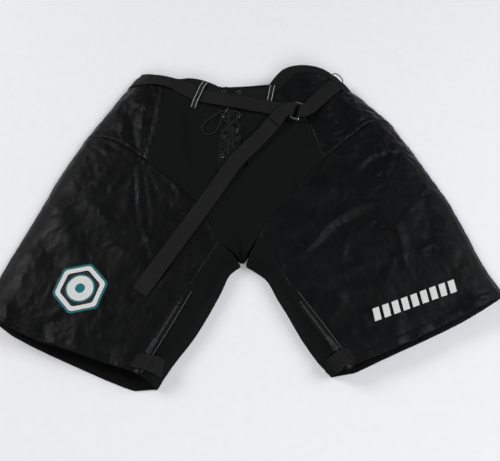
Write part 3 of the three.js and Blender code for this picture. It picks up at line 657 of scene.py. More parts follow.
def stillness(plan):  # 0 where zips, tabs, fly and buckle hold the cloth, and 1 elsewhere
    free = np.ones(len(plan))
    for line in zipLines.values():
        free *= ease(lineDistance(plan, [line]), 9, 26)
    for corners in tabPlan.values():
        middle = np.mean(corners, axis=0)
        free *= ease(np.linalg.norm(plan - middle, axis=1), 24, 42)
    free *= ease(lineDistance(plan, [flyLine]), 30, 48)
    free *= ease(lineDistance(plan, [((90, 222), (118, 214))]), 22, 44)
    return free


folds = [  # name, line in millimetres, height, width, one-sidedness
    ("hipCrease", [(-247, 229), (-231, 185), (-228, 160), (-207, 99)], -4.5, 9, 0.5),
    ("hipStreakHigh", [(-272, 158), (-248, 136), (-220, 113)], 3.6, 9, 0.2),
    ("hipStreakLow", [(-300, 134), (-262, 120), (-226, 108)], 3.4, 8, 0.2),
    ("hipFanOne", [(-262, 200), (-240, 160), (-214, 118)], 3.0, 9, 0.0),
    ("hipFanTwo", [(-205, 250), (-208, 190), (-206, 120)], 3.0, 10, 0.0),
    ("hipFanThree", [(-186, 268), (-192, 200), (-200, 125)], -2.6, 8, 0.0),
    ("hipFanFour", [(-240, 262), (-222, 240), (-190, 232)], 2.6, 9, 0.0),
    ("pleatOuter", [(-222, 100), (-215, 26), (-207, -43)], -2.6, 5, 0.6),
    ("pleatInner", [(-205, 98), (-194, 26), (-184, -43)], -2.8, 5, 0.6),
    ("pleatRidge", [(-214, 92), (-204, 26), (-196, -36)], 1.0, 8, 0.0),
    ("thighBroad", [(-312, 32), (-270, -20), (-236, -52)], 4.0, 22, 0.0),
    ("thighBroadLow", [(-380, 20), (-340, -40), (-310, -110)], 3.5, 24, 0.0),
    ("thighNarrow", [(-184, -55), (-176, -84), (-166, -112)], 3.6, 8, 0.0),
    ("thighHigh", [(-262, -72), (-220, -96), (-176, -120)], 4.5, 24, 0.0),
    ("thighSide", [(-395, -30), (-372, -90), (-330, -140)], -3.5, 18, 0.0),
    ("knitLine", [(-174, 101), (-136, 58), (-97, 11)], -3.0, 7, 0.5),
    ("knitRidge", [(-135, 262), (-130, 200), (-127, 131), (-109, 73), (-79, 40)], 8.5, 20, -0.75),
    ("knitShadow", [(-112, 236), (-106, 140), (-90, 84)], -4.5, 12, 0.0),
    ("knitFan", [(-176, 236), (-168, 180), (-150, 140)], 4.0, 12, 0.0),
    ("knitFanLow", [(-168, 110), (-150, 84), (-120, 50)], 4.0, 12, 0.3),
    ("leftKnitFold", [(70, 236), (84, 196), (92, 150)], -4.0, 12, 0.0),
    ("leftKnitFoldLow", [(46, 110), (92, 84), (128, 40)], 4.0, 16, 0.0),
    ("leftCreaseHigh", [(222, 76), (250, 106), (279, 120), (310, 128)], -3.8, 8, -0.5),
    ("leftPatch", [(107, 58), (150, 44), (196, 20)], 4.6, 24, 0.0),
    ("leftCreaseLong", [(86, -118), (106, -92), (127, -70), (167, -24), (204, -4), (250, 12)], 4.6, 10, -0.7),
    ("leftUnderCrease", [(100, -112), (140, -76), (178, -38), (240, -8)], -4.2, 11, 0.0),
    ("leftCreaseSide", [(246, -12), (284, -39), (293, -80), (292, -118)], 3.8, 9, 0.5),
    ("leftShortFold", [(188, -60), (182, -84), (176, -108)], 3.0, 8, 0.0),
    ("leftSag", [(330, 60), (350, -10), (352, -80)], -3.0, 26, 0.0),
    ("leftHipFold", [(200, 262), (232, 210), (262, 180)], 3.4, 14, 0.0),
    ("leftHipFoldTwo", [(160, 250), (196, 190), (222, 150)], -3.2, 11, 0.0),
    ("leftHipFoldThree", [(140, 280), (168, 226), (176, 160)], 3.2, 12, 0.0),
    ("leftBlotch", [(124, -138), (150, -166), (182, -198)], 3.4, 14, 0.0),
    ("rightInnerFold", [(-60, -96), (-78, -150), (-92, -190)], -4.0, 9, 0.0),
    ("leftInnerFold", [(42, -70), (61, -110), (78, -160)], -4.0, 9, 0.0),
    ("crotchFoldRight", [(-46, -60), (-20, -84), (-8, -104)], -4.5, 9, 0.0),
    ("crotchFoldLeft", [(24, -48), (8, -78), (-2, -102)], -4.5, 9, 0.0),
    ("hemWaveA", [(-430, -190), (-424, -215), (-420, -240)], 5.0, 14, 0.0),
    ("hemWaveB", [(-362, -222), (-356, -245), (-352, -270)], -4.0, 14, 0.0),
    ("hemWaveC", [(-300, -238), (-296, -262), (-292, -290)], 4.0, 14, 0.0),
    ("hemWaveD", [(-238, -262), (-236, -282), (-234, -308)], -3.6, 13, 0.0),
    ("hemWaveE", [(262, -246), (266, -268), (272, -292)], 4.0, 14, 0.0),
    ("hemWaveF", [(330, -222), (336, -240), (344, -262)], -3.6, 14, 0.0),
    ("hemWaveG", [(408, -180), (414, -200), (420, -225)], 4.4, 14, 0.0),
]


def foldHeight(plan):  # plan in millimetres, result in millimetres
    height = np.zeros(len(plan))
    for _, line, rise, width, lean in folds:
        pieces = np.array(line, float)
        lengths = np.concatenate([[0], np.cumsum(np.linalg.norm(np.diff(pieces, axis=0), axis=1))])
        best = np.full(len(plan), 1e9)
        side = np.zeros(len(plan))
        share = np.zeros(len(plan))
        for i in range(len(pieces) - 1):
            a, run = pieces[i], pieces[i + 1] - pieces[i]
            t = np.clip(((plan - a) @ run) / (run @ run), 0, 1)
            gap = plan - (a + t[:, None] * run)
            far = np.linalg.norm(gap, axis=1)
            closer = far < best
            best = np.where(closer, far, best)
            turn = np.sign(run[0] * gap[:, 1] - run[1] * gap[:, 0])
            side = np.where(closer, turn, side)
            share = np.where(closer, (lengths[i] + t * np.linalg.norm(run)) / lengths[-1], share)
        taper = np.sin(np.pi * np.clip(share * 0.94 + 0.03, 0, 1)) ** 0.6
        spread = width * (1 + 0.75 * lean * side)
        crest = np.exp(-(np.sqrt(best ** 2 + 4) - 2) / (0.8 * spread))
        height += rise * taper * (0.6 * crest + 0.4 * np.exp(-(best / spread) ** 2))
    return height


crinkle = {
    "fan": (-206, 108), "fanReach": 165, "fanRise": 2.4, "fanTurns": 3.4,
    "broad": 1 / 44, "broadRise": 1.5, "fineScale": 1 / 16, "fineRise": 1.0,
    "hipScale": 1 / 15, "hipRise": 2.6,
}


def ridge(x, y, seed):  # sharp crests where smooth noise passes through zero
    return 1 - 2.2 * abs(noise.noise(Vector((x, y, seed))))


def crinkleHeight(plan, finishIs):  # crushed cloth, in millimetres; finishIs is 1 on nylon, less on knit
    made = np.zeros(len(plan))
    for i, (x, y) in enumerate(plan):
        share = finishIs[i]
        if share <= 0:
            continue
        warp = noise.noise_vector(Vector((x / 70, y / 70, 4.0))) * 26
        turned = (x * 0.80 + y * 0.60 + warp.x, y * 0.80 - x * 0.60 + warp.y)
        broad, fine = crinkle["broad"], crinkle["fineScale"]
        value = crinkle["broadRise"] * ridge(turned[0] * broad * 0.55, turned[1] * broad, 1.0)
        value += crinkle["fineRise"] * ridge(turned[0] * fine, turned[1] * fine, 7.0)
        hip = float(ease(np.array([y]), 60, 150)[0] * ease(np.array([abs(x + 20)]), 90, 170)[0])
        hip *= 0.75 + 0.5 * noise.noise(Vector((x / 60, y / 60, 21.0)))
        value += crinkle["hipRise"] * hip * ridge(turned[0] * crinkle["hipScale"] * 0.6 + warp.x / 30,
                                                  turned[1] * crinkle["hipScale"], 15.0)
        for middle, reach, rise in ((crinkle["fan"], crinkle["fanReach"], crinkle["fanRise"]),
                                    ((150, 96), 150, crinkle["fanRise"] * 0.7)):
            dx, dy = x - middle[0], y - middle[1]
            far = math.hypot(dx, dy)
            near = max(0.0, 1 - far / reach) ** 0.8 * min(1.0, far / 30)
            angle = math.atan2(dy, dx)
            turns = crinkle["fanTurns"]
            value += rise * near * ridge(math.cos(angle) * turns, math.sin(angle) * turns + far / 130, 11.0)
        made[i] = value * share
    return made


def coordsOf(shell):
    return np.array([v.co for v in shell.verts], float)


def smoothHeights(shell, rounds):
    free = [v for v in shell.verts if not v.is_boundary]
    for _ in range(rounds):
        bmesh.ops.smooth_vert(shell, verts=free, factor=0.5,
                              use_axis_x=False, use_axis_y=False, use_axis_z=True)


smoothHeights(garment, 5)
garment.normal_update()
facingUp = np.array([ease(np.array([v.normal.z]), 0.15, 0.5)[0] for v in garment.verts])
isFront = np.array([max(panels[panelNames[f[panelLayer]]][1] for f in v.link_faces) for v in garment.verts])
upperSide = facingUp * (isFront > 0)
flat = coordsOf(garment)
plan = flat[:, :2] / mm
freedom = stillness(plan) * upperSide
finishShare = np.array([np.mean([1.0 if panels[panelNames[f[panelLayer]]][0] is nylon else 0.22
                                  for f in v.link_faces]) for v in garment.verts])
atHem = np.array([v.is_boundary for v in garment.verts])
crinkled = crinkleHeight(plan, finishShare * (freedom > 0.01)) * np.where(atHem, 0.6, 1.0)
lift = (foldHeight(plan) + crinkled) * mm * freedom
for v, extra in zip(garment.verts, lift):
    v.co.z += extra
print("folds laid")


def finishMesh(name, shell):
    data = bpy.data.meshes.new(name)
    shell.to_mesh(data)
    made = bpy.data.objects.new(name, data)
    scene.collection.objects.link(made)
    return made


def crumple(shell, free):  # let the cloth grow a little between what holds it, so that it buckles
    piece = finishMesh("garmentCloth", shell)
    held = piece.vertex_groups.new(name="held")
    grows = piece.vertex_groups.new(name="grows")
    shell.verts.ensure_lookup_table()
    for i, v in enumerate(shell.verts):
        kinds = {panelNames[f[panelLayer]] for f in v.link_faces}
        seam = len(kinds) > 1
        amount = 1.0 if v.is_boundary or upperSide[i] < 0.5 else max(1 - free[i], 0.5 if seam else 0.0)
        held.add([i], float(amount), "REPLACE")
        cloth = panels[sorted(kinds)[0]][0]
        grows.add([i], 1.0 if cloth is nylon else 0.25, "REPLACE")
    cloth = piece.modifiers.new("cloth", "CLOTH")
    settings = cloth.settings
    settings.quality = 5
    settings.mass = 0.12
    settings.air_damping = 2
    settings.tension_stiffness = 18
    settings.compression_stiffness = 18
    settings.shear_stiffness = 6
    settings.bending_model = "ANGULAR"
    settings.bending_stiffness = 0.06
    settings.vertex_group_mass = "held"
    settings.pin_stiffness = 1.2
    settings.vertex_group_shrink = "grows"
    settings.shrink_min = 0.0
    settings.shrink_max = clothSettings["grow"]
    settings.effector_weights.gravity = 0.0
    cloth.collision_settings.use_collision = False
    cloth.collision_settings.use_self_collision = False
    cloth.point_cache.frame_start = 1
    cloth.point_cache.frame_end = clothSettings["frames"]
    for number in range(1, clothSettings["frames"] + 1):
        scene.frame_set(number)
    done = piece.evaluated_get(bpy.context.evaluated_depsgraph_get()).to_mesh()
    moved = np.array([v.co for v in done.vertices], float)
    scene.frame_set(1)
    bpy.data.objects.remove(piece)
    return moved


before = coordsOf(garment)
after = crumple(garment, freedom)
shift = after - before
length = np.linalg.norm(shift, axis=1, keepdims=True)
print("crumple moves up to", round(float(length.max()) / mm, 2), "mm")
shift *= np.minimum(1, clothSettings["cap"] / np.maximum(length, 1e-9)) * freedom[:, None]
for v, step in zip(garment.verts, shift):
    v.co += Vector(step)
print("cloth crumpled")


def refine(shell):  # one round of subdivision on the whole garment, so that seams stay shut
    piece = finishMesh("garmentFine", shell)
    fine = piece.modifiers.new("fine", "SUBSURF")
    fine.levels = 1
    fine.render_levels = 1
    data = bpy.data.meshes.new_from_object(piece.evaluated_get(bpy.context.evaluated_depsgraph_get()))
    bpy.data.objects.remove(piece)
    made = bmesh.new()
    made.from_mesh(data)
    return made


garment = refine(garment)
panelLayer = garment.faces.layers.int["panel"]
garment.verts.ensure_lookup_table()
garment.normal_update()


def edgeKinds(shell):  # edges on the seams between panels, at the hems and at the waist
    seams, hems, waist = [], [], []
    for e in shell.edges:
        middle = (e.verts[0].co + e.verts[1].co) / 2
        if e.is_boundary and middle.y < -160 * mm:
            hems.append(e)
        elif e.is_boundary and middle.y > 235 * mm:
            waist.append(e)
        elif e.is_boundary:
            continue
        elif e.link_faces[0][panelLayer] != e.link_faces[1][panelLayer]:
            seams.append(e)
    return seams, hems, waist


seamEdges, hemEdges, waistEdges = edgeKinds(garment)


def treeOf(edges):
    points = {v.index: v.co.copy() for e in edges for v in e.verts}
    tree = KDTree(len(points))
    for i, co in points.items():
        tree.insert(co, i)
    tree.balance()
    return tree


def needlework(shell):  # seams sink, puckers run off them, and hems are turned double
    seamTree, hemTree = treeOf(seamEdges), treeOf(hemEdges)
    moves = []
    for v in shell.verts:
        _, _, seamFar = seamTree.find(v.co)
        _, _, hemFar = hemTree.find(v.co)
        seamFar /= mm
        hemFar /= mm
        spot = v.co / mm
        pucker = noise.noise(Vector((spot.x / 9, spot.y / 9, 3.0)))
        rise = -0.75 * math.exp(-(seamFar / 2.2) ** 2) + 0.45 * math.exp(-((seamFar - 5.5) / 2.6) ** 2)
        rise += 0.75 * pucker * math.exp(-(seamFar / 14) ** 2)
        hemStep = 1 - ease(np.array([hemFar]), 15.5, 18.5)[0]
        rise += 0.7 * hemStep - 0.6 * math.exp(-((hemFar - 17.5) / 1.6) ** 2)
        rise += 0.8 * noise.noise(Vector((spot.x / 7, spot.y / 7, 9.0))) * math.exp(-(hemFar / 16) ** 2)
        moves.append(v.normal * (rise * mm))
    for v, step in zip(shell.verts, moves):
        v.co += step
        v.co.z = max(v.co.z, 0.3 * mm)


needlework(garment)
garment.normal_update()
print("needlework done", len(garment.verts), "points")
clothTree = BVHTree.FromBMesh(garment)

def camel(node):
    first, *others = node.split("_")
    return first + "".join(word.title() for word in others)


def declareSheet(piece, node):  # the flat cut: its oblong is found along its own long way
    points = np.array([v.co for v in piece.data.vertices], float)
    middle = points - points.mean(axis=0)
    _, _, ways = np.linalg.svd(middle, full_matrices=False)
    spread = middle @ ways.T
    long, wide = (float(np.ptp(spread[:, i])) for i in (0, 1))
    cut = sum(p.area for p in piece.data.polygons) / clothSettings["cutEase"]
    wide = max(wide, cut / (clothSettings["cutFill"] * long))  # for a strip that turns round the leg
    print(node, "cut", round(wide, 3), round(long, 3), "area", round(cut, 4))


def panelPiece(number, node):
    finish = panels[node][0]
    keep = bmesh.new()
    index = {}
    for face in garment.faces:
        if face[panelLayer] != number:
            continue
        for v in face.verts:
            if v.index not in index:
                index[v.index] = keep.verts.new(v.co)
        made = keep.faces.new([index[v.index] for v in face.verts])
        made.smooth = True
    piece = finishMesh(camel(node) + "Cloth", keep)
    keep.free()
    piece.data.materials.append(finish)
    thick = piece.modifiers.new("thickness", "SOLIDIFY")
    thick.thickness = clothSettings["thick"]
    thick.offset = -1
    thick.use_rim = True
    thick.use_even_offset = False
    declareSheet(piece, node)
    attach(piece, "shell")
    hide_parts(node)


garment.verts.index_update()
for number, node in enumerate(panels):
    panelPiece(number, node)
print("garment panels made")


# reading the finished cloth

down = Vector((0, 0, -1))


def clothAt(x, y):  # highest point of the garment over a place in plan, and the way it faces
    hit, normal, _, _ = clothTree.ray_cast(Vector((x, y, 0.3)), down)
    if hit is None:
        return None, Vector((0, 0, 1))
    return hit, normal if normal.z > 0 else -normal


def clothHeight(x, y, fallback=2 * mm):  # as above, with the plackets over the fly counted in
    hit, _ = clothAt(x, y)
    overFly = abs(x + 30 * mm) < 34 * mm and 70 * mm < y < 296 * mm
    if overFly:
        return max(flyLevel(y) + 1.4 * mm, hit.z if hit is not None else 0)
    if abs(x + 10 * mm) < 110 * mm and -40 * mm < y < 262 * mm and (hit is None or hit.z < 20 * mm):
        return flyLevel(y)
    return fallback if hit is None else hit.z


# straps: flat ovals swept along the cloth

def strapMesh(name, centres, sides, normals, width, thick, finish, columns=10, edge=0.62):
    columnsAt = np.linspace(-1, 1, columns + 1)
    profile = [(u, 1) for u in columnsAt] + [(u, -1) for u in columnsAt[::-1]]
    points, uv = [], []
    run = 0.0
    for i, (c, s, n) in enumerate(zip(centres, sides, normals)):
        if i:
            run += (Vector(c) - Vector(centres[i - 1])).length
        for u, face in profile:
            taper = 1 - (1 - edge) * abs(u) ** 6
            points.append(Vector(c) + Vector(s) * (u * width / 2) + Vector(n) * (face * thick / 2 * taper))
            uv.append((run, u * width / 2))
    ring = len(profile)
    faces = []
    for i in range(len(centres) - 1):
        for j in range(ring):
            a, b = i * ring + j, i * ring + (j + 1) % ring
            faces.append((a, a + ring, b + ring, b))
    faces.append(tuple(range(ring)))
    last = (len(centres) - 1) * ring
    faces.append(tuple(last + j for j in reversed(range(ring))))
    return meshPiece(name, points, faces, finish, uv)


def strapRoute(stations, steps, width, calm, under=1.9):  # a station: x, y, heading of the width, layer, lift
    rows = throughPoints(stations, steps)
    reach = np.array([-1, -0.5, 0, 0.5, 1])  # where the cloth is felt for, across the strap
    centres, sides = [], []
    for x, y, heading, layer, lift in rows:
        turn = math.radians(heading)
        side = Vector((math.cos(turn), math.sin(turn), 0))
        layer = float(np.clip(layer, 0, 1))
        ends = []
        for share in reach:
            p = Vector((x, y, 0)) * mm + side * (float(share) * width / 2)
            ends.append(clothHeight(p.x, p.y, None) if layer > 0 else None)
        known = [h for h in ends if h is not None]
        if layer > 0 and not known:
            known = [centres[-1][2] - lift * mm if centres else 30 * mm]
        level = [under * mm] * 2
        if layer > 0:
            ends = np.array([h if h is not None else min(known) for h in ends])
            slope = float(np.clip(np.polyfit(reach, ends, 1)[0], -0.14 * width, 0.14 * width))
            middle = float(np.max(ends - slope * reach) * 0.8 + np.mean(ends - slope * reach) * 0.2)
            level = [middle + slope * e + (lift - 0.6) * mm for e in (-1, 1)]
            level = [under * mm * (1 - layer) + h * layer for h in level]
        centres.append([x * mm, y * mm, (level[0] + level[1]) / 2])
        sides.append([side.x * width, side.y * width, level[1] - level[0]])
    centres, sides = np.array(centres), np.array(sides)
    for _ in range(calm):
        for values in (centres, sides):
            values[1:-1, 2] = (values[:-2, 2] + 2 * values[1:-1, 2] + values[2:, 2]) / 4
    lengths = np.linalg.norm(sides, axis=1, keepdims=True)
    sides = sides / lengths
    tangents = np.gradient(centres, axis=0)
    normals = np.cross(sides, tangents)
    return centres, sides, normals / np.maximum(np.linalg.norm(normals, axis=1, keepdims=True), 1e-9)


def strap(name, stations, width, thick, steps, finish, body, slotName, nodes, columns=10, calm=3):
    centres, sides, normals = strapRoute(stations, steps, width * mm, calm)
    piece = strapMesh(name, centres, sides, normals, width * mm, thick * mm, finish, columns)
    settle(piece, body, slotName, *nodes)
    return piece, (centres, sides, normals)


lie = 2.3
ringLow, ringHigh = 4.6, 15.0
ringMid = (ringLow + ringHigh) / 2
belt = {
    "width": 32, "thick": 1.6, "steps": 420,
    "stations": [
        (57, 192, 138, 1, 10), (68, 205, 122, 1, 12.5), (81, 217, 96, 1, ringHigh), (95, 221, 72, 1, ringHigh),
        (99.5, 219.5, 72, 1, ringMid), (95, 221, 72, 1, ringLow), (78, 225, 76, 1, ringLow),
        (10, 238, 78, 1, 5.6), (-40, 248, 78, 1, 5.6), (-72, 255, 78, 1, 5.2), (-92, 261, 74, 1, 3.4),
        (-118, 274, 64, 1, lie), (-150, 292, 70, 1, lie), (-190, 303, 78, 1, lie), (-228, 309, 64, 1, lie),
        (-240, 314, 58, 1, 1.2), (-245, 315, 58, 0.7, 0), (-245, 314, 58, 0.3, 0), (-240, 312, 58, 0, 0),
        (-226, 309, 62, 0, 0), (-150, 300, 80, 0, 0), (-60, 290, 86, 0, 0), (30, 290, 92, 0, 0),
        (110, 296, 100, 0, 0), (165, 298, 112, 0, 0), (196, 302, 124, 0, 0), (209, 311, 132, 0, 0),
        (213, 314, 132, 0.3, 0), (213, 314, 132, 0.7, 1), (209, 311, 132, 1, lie), (196, 297, 132, 1, lie + 1),
        (174, 274, 132, 1, lie), (152, 250, 131, 1, lie + 2), (138, 235, 126, 1, 7), (127, 223, 108, 1, 12),
        (119, 216.5, 86, 1, ringHigh), (112.3, 215.4, 72, 1, ringHigh), (107.8, 216.9, 72, 1, ringMid),
        (112.3, 215.4, 72, 1, ringLow), (124, 211.6, 72, 1, ringLow),
    ],
}
strap("waistBeltWebbing", belt["stations"], belt["width"], belt["thick"], belt["steps"],
      webbingPale, "shell", "webbing", ["waist_belt"])
tail = {
    "steps": 180, "calm": 40,
    "stations": [
        (55.8, 190.3, 138, 1, 10), (45, 176, 138, 1, 9), (20, 146, 141, 1, 7.6), (-19, 101, 144, 1, 7.2),
        (-46, 58, 146, 1, 5), (-70, 19, 148, 1, lie), (-120, -61, 148, 1, lie), (-191, -175, 148, 1, lie),
    ],
}
strap("beltTailWebbing", tail["stations"], belt["width"], belt["thick"], tail["steps"],
      webbingPale, "tail", "webbing", ["belt_tail"], calm=tail["calm"])
print("belt made")


def stitchMesh(runs, pitch, length, width, rise):  # short raised stitches along lines of (point, normal)
    points, faces = [], []
    for run in runs:
        spots = np.array([p for p, _ in run], float)
        ups = np.array([n for _, n in run], float)
        far = np.concatenate([[0], np.cumsum(np.linalg.norm(np.diff(spots, axis=0), axis=1))])
        count = int(far[-1] / pitch)
        for k in range(count):
            at = (k + 0.5) * pitch
            a = Vector([np.interp(at - length / 2, far, spots[:, i]) for i in range(3)])
            b = Vector([np.interp(at + length / 2, far, spots[:, i]) for i in range(3)])
            up = Vector([np.interp(at, far, ups[:, i]) for i in range(3)]).normalized()
            along = (b - a)
            if along.length < 1e-6:
                continue
            along.normalize()
            side = along.cross(up).normalized()
            base = len(points)
            for share, swell in ((0, 0.35), (0.28, 1.0), (0.72, 1.0), (1, 0.35)):
                middle = a.lerp(b, share)
                for turn in range(5):
                    angle = math.pi * turn / 4
                    out = side * (math.cos(angle) * width / 2 * swell)
                    points.append(middle + out + up * (math.sin(angle) * rise * swell + 0.02 * mm))
            for i in range(3):
                for j in range(4):
                    q = base + i * 5 + j
                    faces.append((q, q + 1, q + 6, q + 5))
            faces.append(tuple(base + j for j in reversed(range(5))))
            faces.append(tuple(base + 15 + j for j in range(5)))
            for i in range(3):
                q = base + i * 5
                faces.append((q, q + 5, q + 9, q + 4))
    return points, faces


def stitches(name, runs, finish, body, slotName,
             pitch=3.2 * mm, length=2.3 * mm, width=0.55 * mm, rise=0.32 * mm):
    points, faces = stitchMesh(runs, pitch, length, width, rise)
    return settle(meshPiece(name, points, faces, finish), body, slotName)


def strapLine(route, shift, thick, start=0.0, end=1.0):  # a line on top of a strap, off its middle
    centres, sides, normals = route
    count = len(centres)
    picked = range(int(start * (count - 1)), int(end * (count - 1)) + 1)
    return [(centres[i] + sides[i] * shift + normals[i] * thick / 2, normals[i]) for i in picked]


loops = {
    "rightFrontLoop": ("right_front_belt_loop", [
        (-83, 303, 162, 1, 1.6), (-87, 292, 162, 1, 2.6), (-91, 283, 162, 1, 5.6), (-97, 264, 162, 1, 6.2),
        (-104, 246, 162, 1, 5.6), (-107, 237, 162, 1, 2.6), (-110, 229, 162, 1, 1.6)]),
    "leftFrontLoop": ("left_front_belt_loop", [
        (57, 288, 170, 1, 1.8), (55, 280, 171, 1, 2.6), (52, 264, 172, 1, 3.4), (49, 248, 173, 1, 2.6),
        (47, 238, 173, 1, 1.6)]),
    "leftSideLoop": ("left_side_belt_loop", [
        (178, 316, 42, 1, 1.8), (182, 311, 42, 1, 3.6), (187, 306, 42, 1, 6.4), (196, 297, 42, 1, 6.6),
        (205, 287, 42, 1, 6.0), (210, 282, 42, 1, 3.2), (215, 276, 42, 1, 1.6)]),
}
for name, (node, stations) in loops.items():
    piece, route = strap(name, stations, 14, 1.0, 60, webbing, "shell", "webbing", [node], 6)
    upward = np.where(route[2][:, 2:3] < 0, -1, 1)
    route = (route[0], route[1], route[2] * upward)
    thread = whiteThread if "Front" in name else blackThread
    runs = [strapLine(route, shift * mm, 1.05 * mm, 0.04, 0.96) for shift in (-4.2, 4.2)]
    stitches(name + "Stitches", runs, thread, "shell", "webbing", 3.6 * mm, 2.7 * mm, 1.3 * mm, 0.5 * mm)
keeper = [(184, 322, 31), (190, 326, 29), (197, 325, 26), (203, 320, 24), (206, 312, 24), (206, 303, 26)]
keeperPath = [Vector(tuple(row)) * mm for row in throughPoints(keeper, 40)]
settle(tubeMesh("hipKeeperLoop", keeperPath, 1.1 * mm, greyThread, 10), "shell", "webbing")
print("belt loops made")


# stitching of the garment

def chains(edges):  # edges joined end to end into runs of vertices
    near = {}
    for e in edges:
        a, b = e.verts
        near.setdefault(a.index, []).append(b.index)
        near.setdefault(b.index, []).append(a.index)
    used, runs = set(), []
    starts = [v for v, n in near.items() if len(n) != 2] + list(near)
    for start in starts:
        for first in near[start]:
            if frozenset((start, first)) in used:
                continue
            run = [start, first]
            used.add(frozenset((start, first)))
            while len(near[run[-1]]) == 2:
                ahead = [v for v in near[run[-1]] if frozenset((run[-1], v)) not in used]
                if not ahead:
                    break
                used.add(frozenset((run[-1], ahead[0])))
                run.append(ahead[0])
            if len(run) > 3:
                runs.append(run)
    return runs


garment.verts.ensure_lookup_table()
seamEdges, hemEdges, waistEdges = edgeKinds(garment)


def offsetRun(run, shift, step=4):  # the run moved sideways over the cloth, facing outward
    points = [garment.verts[i].co for i in run]
    made = []
    for i in range(len(points)):
        ahead = points[min(i + step, len(points) - 1)] - points[max(i - step, 0)]
        if ahead.length < 1e-6:
            continue
        normal = garment.verts[run[i]].normal
        side = ahead.normalized().cross(normal).normalized()
        spot, face, _, far = clothTree.find_nearest(points[i] + side * shift)
        if spot is None or far > 6 * mm:
            continue
        if face.dot(normal) < 0:
            face = -face
        made.append((spot, face))
    return made


def sewSeams():
    pairs = {}
    for e in seamEdges:
        key = tuple(sorted((e.link_faces[0][panelLayer], e.link_faces[1][panelLayer])))
        pairs.setdefault(key, []).append(e)
    runs = []
    for (a, b), edges in pairs.items():
        names = {panelNames[a], panelNames[b]}
        double = any("hip" in n for n in names) and any("thigh" in n for n in names)
        shifts = (2.2, -2.2) if not double else (2.0, 5.2)
        for run in chains(edges):
            for shift in shifts:
                runs.append(offsetRun(run, shift * mm))
    for edges, away in ((hemEdges, 17.5), (waistEdges, 3.0)):
        for run in chains(edges):
            for shift in (away, -away):
                made = offsetRun(run, shift * mm)
                if len(made) > 4:
                    runs.append(made)
    stitches("garmentStitching", [r for r in runs if len(r) > 3], blackThread, "shell", "nylon_shell")


sewSeams()
print("stitching made")


# emblems

teal = threadFinish("tealThread", (0.004, 0.16, 0.19))
blackSatin = threadFinish("blackSatinThread", (0.012, 0.012, 0.014))


def polarLayer(outer, inner, off, rings, spokes=160, centre=(-0.299, -0.166)):
    points, faces = [], []
    for ring in range(rings + 1):
        for k in range(spokes):
            angle = math.tau * k / spokes
            r = inner(angle) + (outer(angle) - inner(angle)) * ring / rings
            x, y = centre[0] + r * math.cos(angle) * mm, centre[1] + r * math.sin(angle) * mm
            hit, normal = clothAt(x, y)
            drop = 0.35 if ring in (0, rings) else 0.0
            points.append(hit + normal * ((off - drop) * mm))
    for ring in range(rings):
        for k in range(spokes):
            a, b = ring * spokes + k, ring * spokes + (k + 1) % spokes
            faces.append((a, a + spokes, b + spokes, b))
    return points, faces


def hexEdge(size):  # a six-sided outline with slightly rounded corners, leaning as sewn
    def edge(angle):
        turn = (angle - 0.2) % (math.pi / 3) - math.pi / 6
        flatSide = size * math.cos(math.pi / 6) / math.cos(turn)
        return min(flatSide, size * 0.965)
    return edge


def roundEdge(size):
    return lambda angle: size


def joinLayers(name, layers):
    points, faces, slots, finishes = [], [], [], []
    for (p, f), finish in layers:
        if finish not in finishes:
            finishes.append(finish)
        base = len(points)
        points += p
        faces += [tuple(i + base for i in face) for face in f]
        slots += [finishes.index(finish)] * len(f)
    piece = meshPiece(name, points, faces, finishes[0])
    for finish in finishes[1:]:
        piece.data.materials.append(finish)
    for polygon, i in zip(piece.data.polygons, slots):
        polygon.material_index = i
    return piece


badge = joinLayers("rightBadgePatch", [
    (polarLayer(hexEdge(52), roundEdge(0.5), 0.6, 10), blackSatin),
    (polarLayer(hexEdge(51), hexEdge(47.5), 1.0, 3), teal),
    (polarLayer(hexEdge(46.5), hexEdge(37), 1.3, 3), whiteThread),
    (polarLayer(roundEdge(27), roundEdge(0.5), 1.0, 8), teal),
    (polarLayer(roundEdge(24), roundEdge(9), 1.4, 4), whiteThread),
])
settle(badge, "shell", "white_print", "right_badge")


def markBars():
    turn = math.radians(20.5)
    points, faces = [], []
    count, gap, bar, height, slant = 9, 6.2, 12.6, 23, 5
    for i in range(count):
        left = -164 / 2 + i * (bar + gap)
        base = len(points)
        for row in range(9):
            for column in range(6):
                up = height * (row / 8 - 0.5)
                along = left + bar * column / 5 + slant * (row / 8)
                x = 304 + along * math.cos(turn) - up * math.sin(turn)
                y = -189 + along * math.sin(turn) + up * math.cos(turn)
                hit, normal = clothAt(x * mm, y * mm)
                edge = row in (0, 8) or column in (0, 5)
                points.append(hit + normal * ((0.15 if edge else 0.5) * mm))
        for row in range(8):
            for column in range(5):
                a = base + row * 6 + column
                faces.append((a, a + 1, a + 7, a + 6))
    return points, faces


mark = meshPiece("leftMarkBars", *markBars(), whiteThread)
settle(mark, "shell", "white_print", "left_mark")
print("emblems made")


# hem tabs, zips and the small cloth pieces about the fly

def skinMesh(node, cuts):  # the upper skin of a small flat piece, with more points in it
    points, faces = outsideOf(node, 1)
    shape = bmesh.new()
    made = [shape.verts.new(p) for p in points]
    for f in faces:
        shape.faces.new([made[i] for i in f])
    bmesh.ops.join_triangles(shape, faces=shape.faces[:], angle_face_threshold=1.0, angle_shape_threshold=1.2)
    if cuts:
        bmesh.ops.subdivide_edges(shape, edges=shape.edges[:], cuts=cuts, use_grid_fill=True)
    return shape


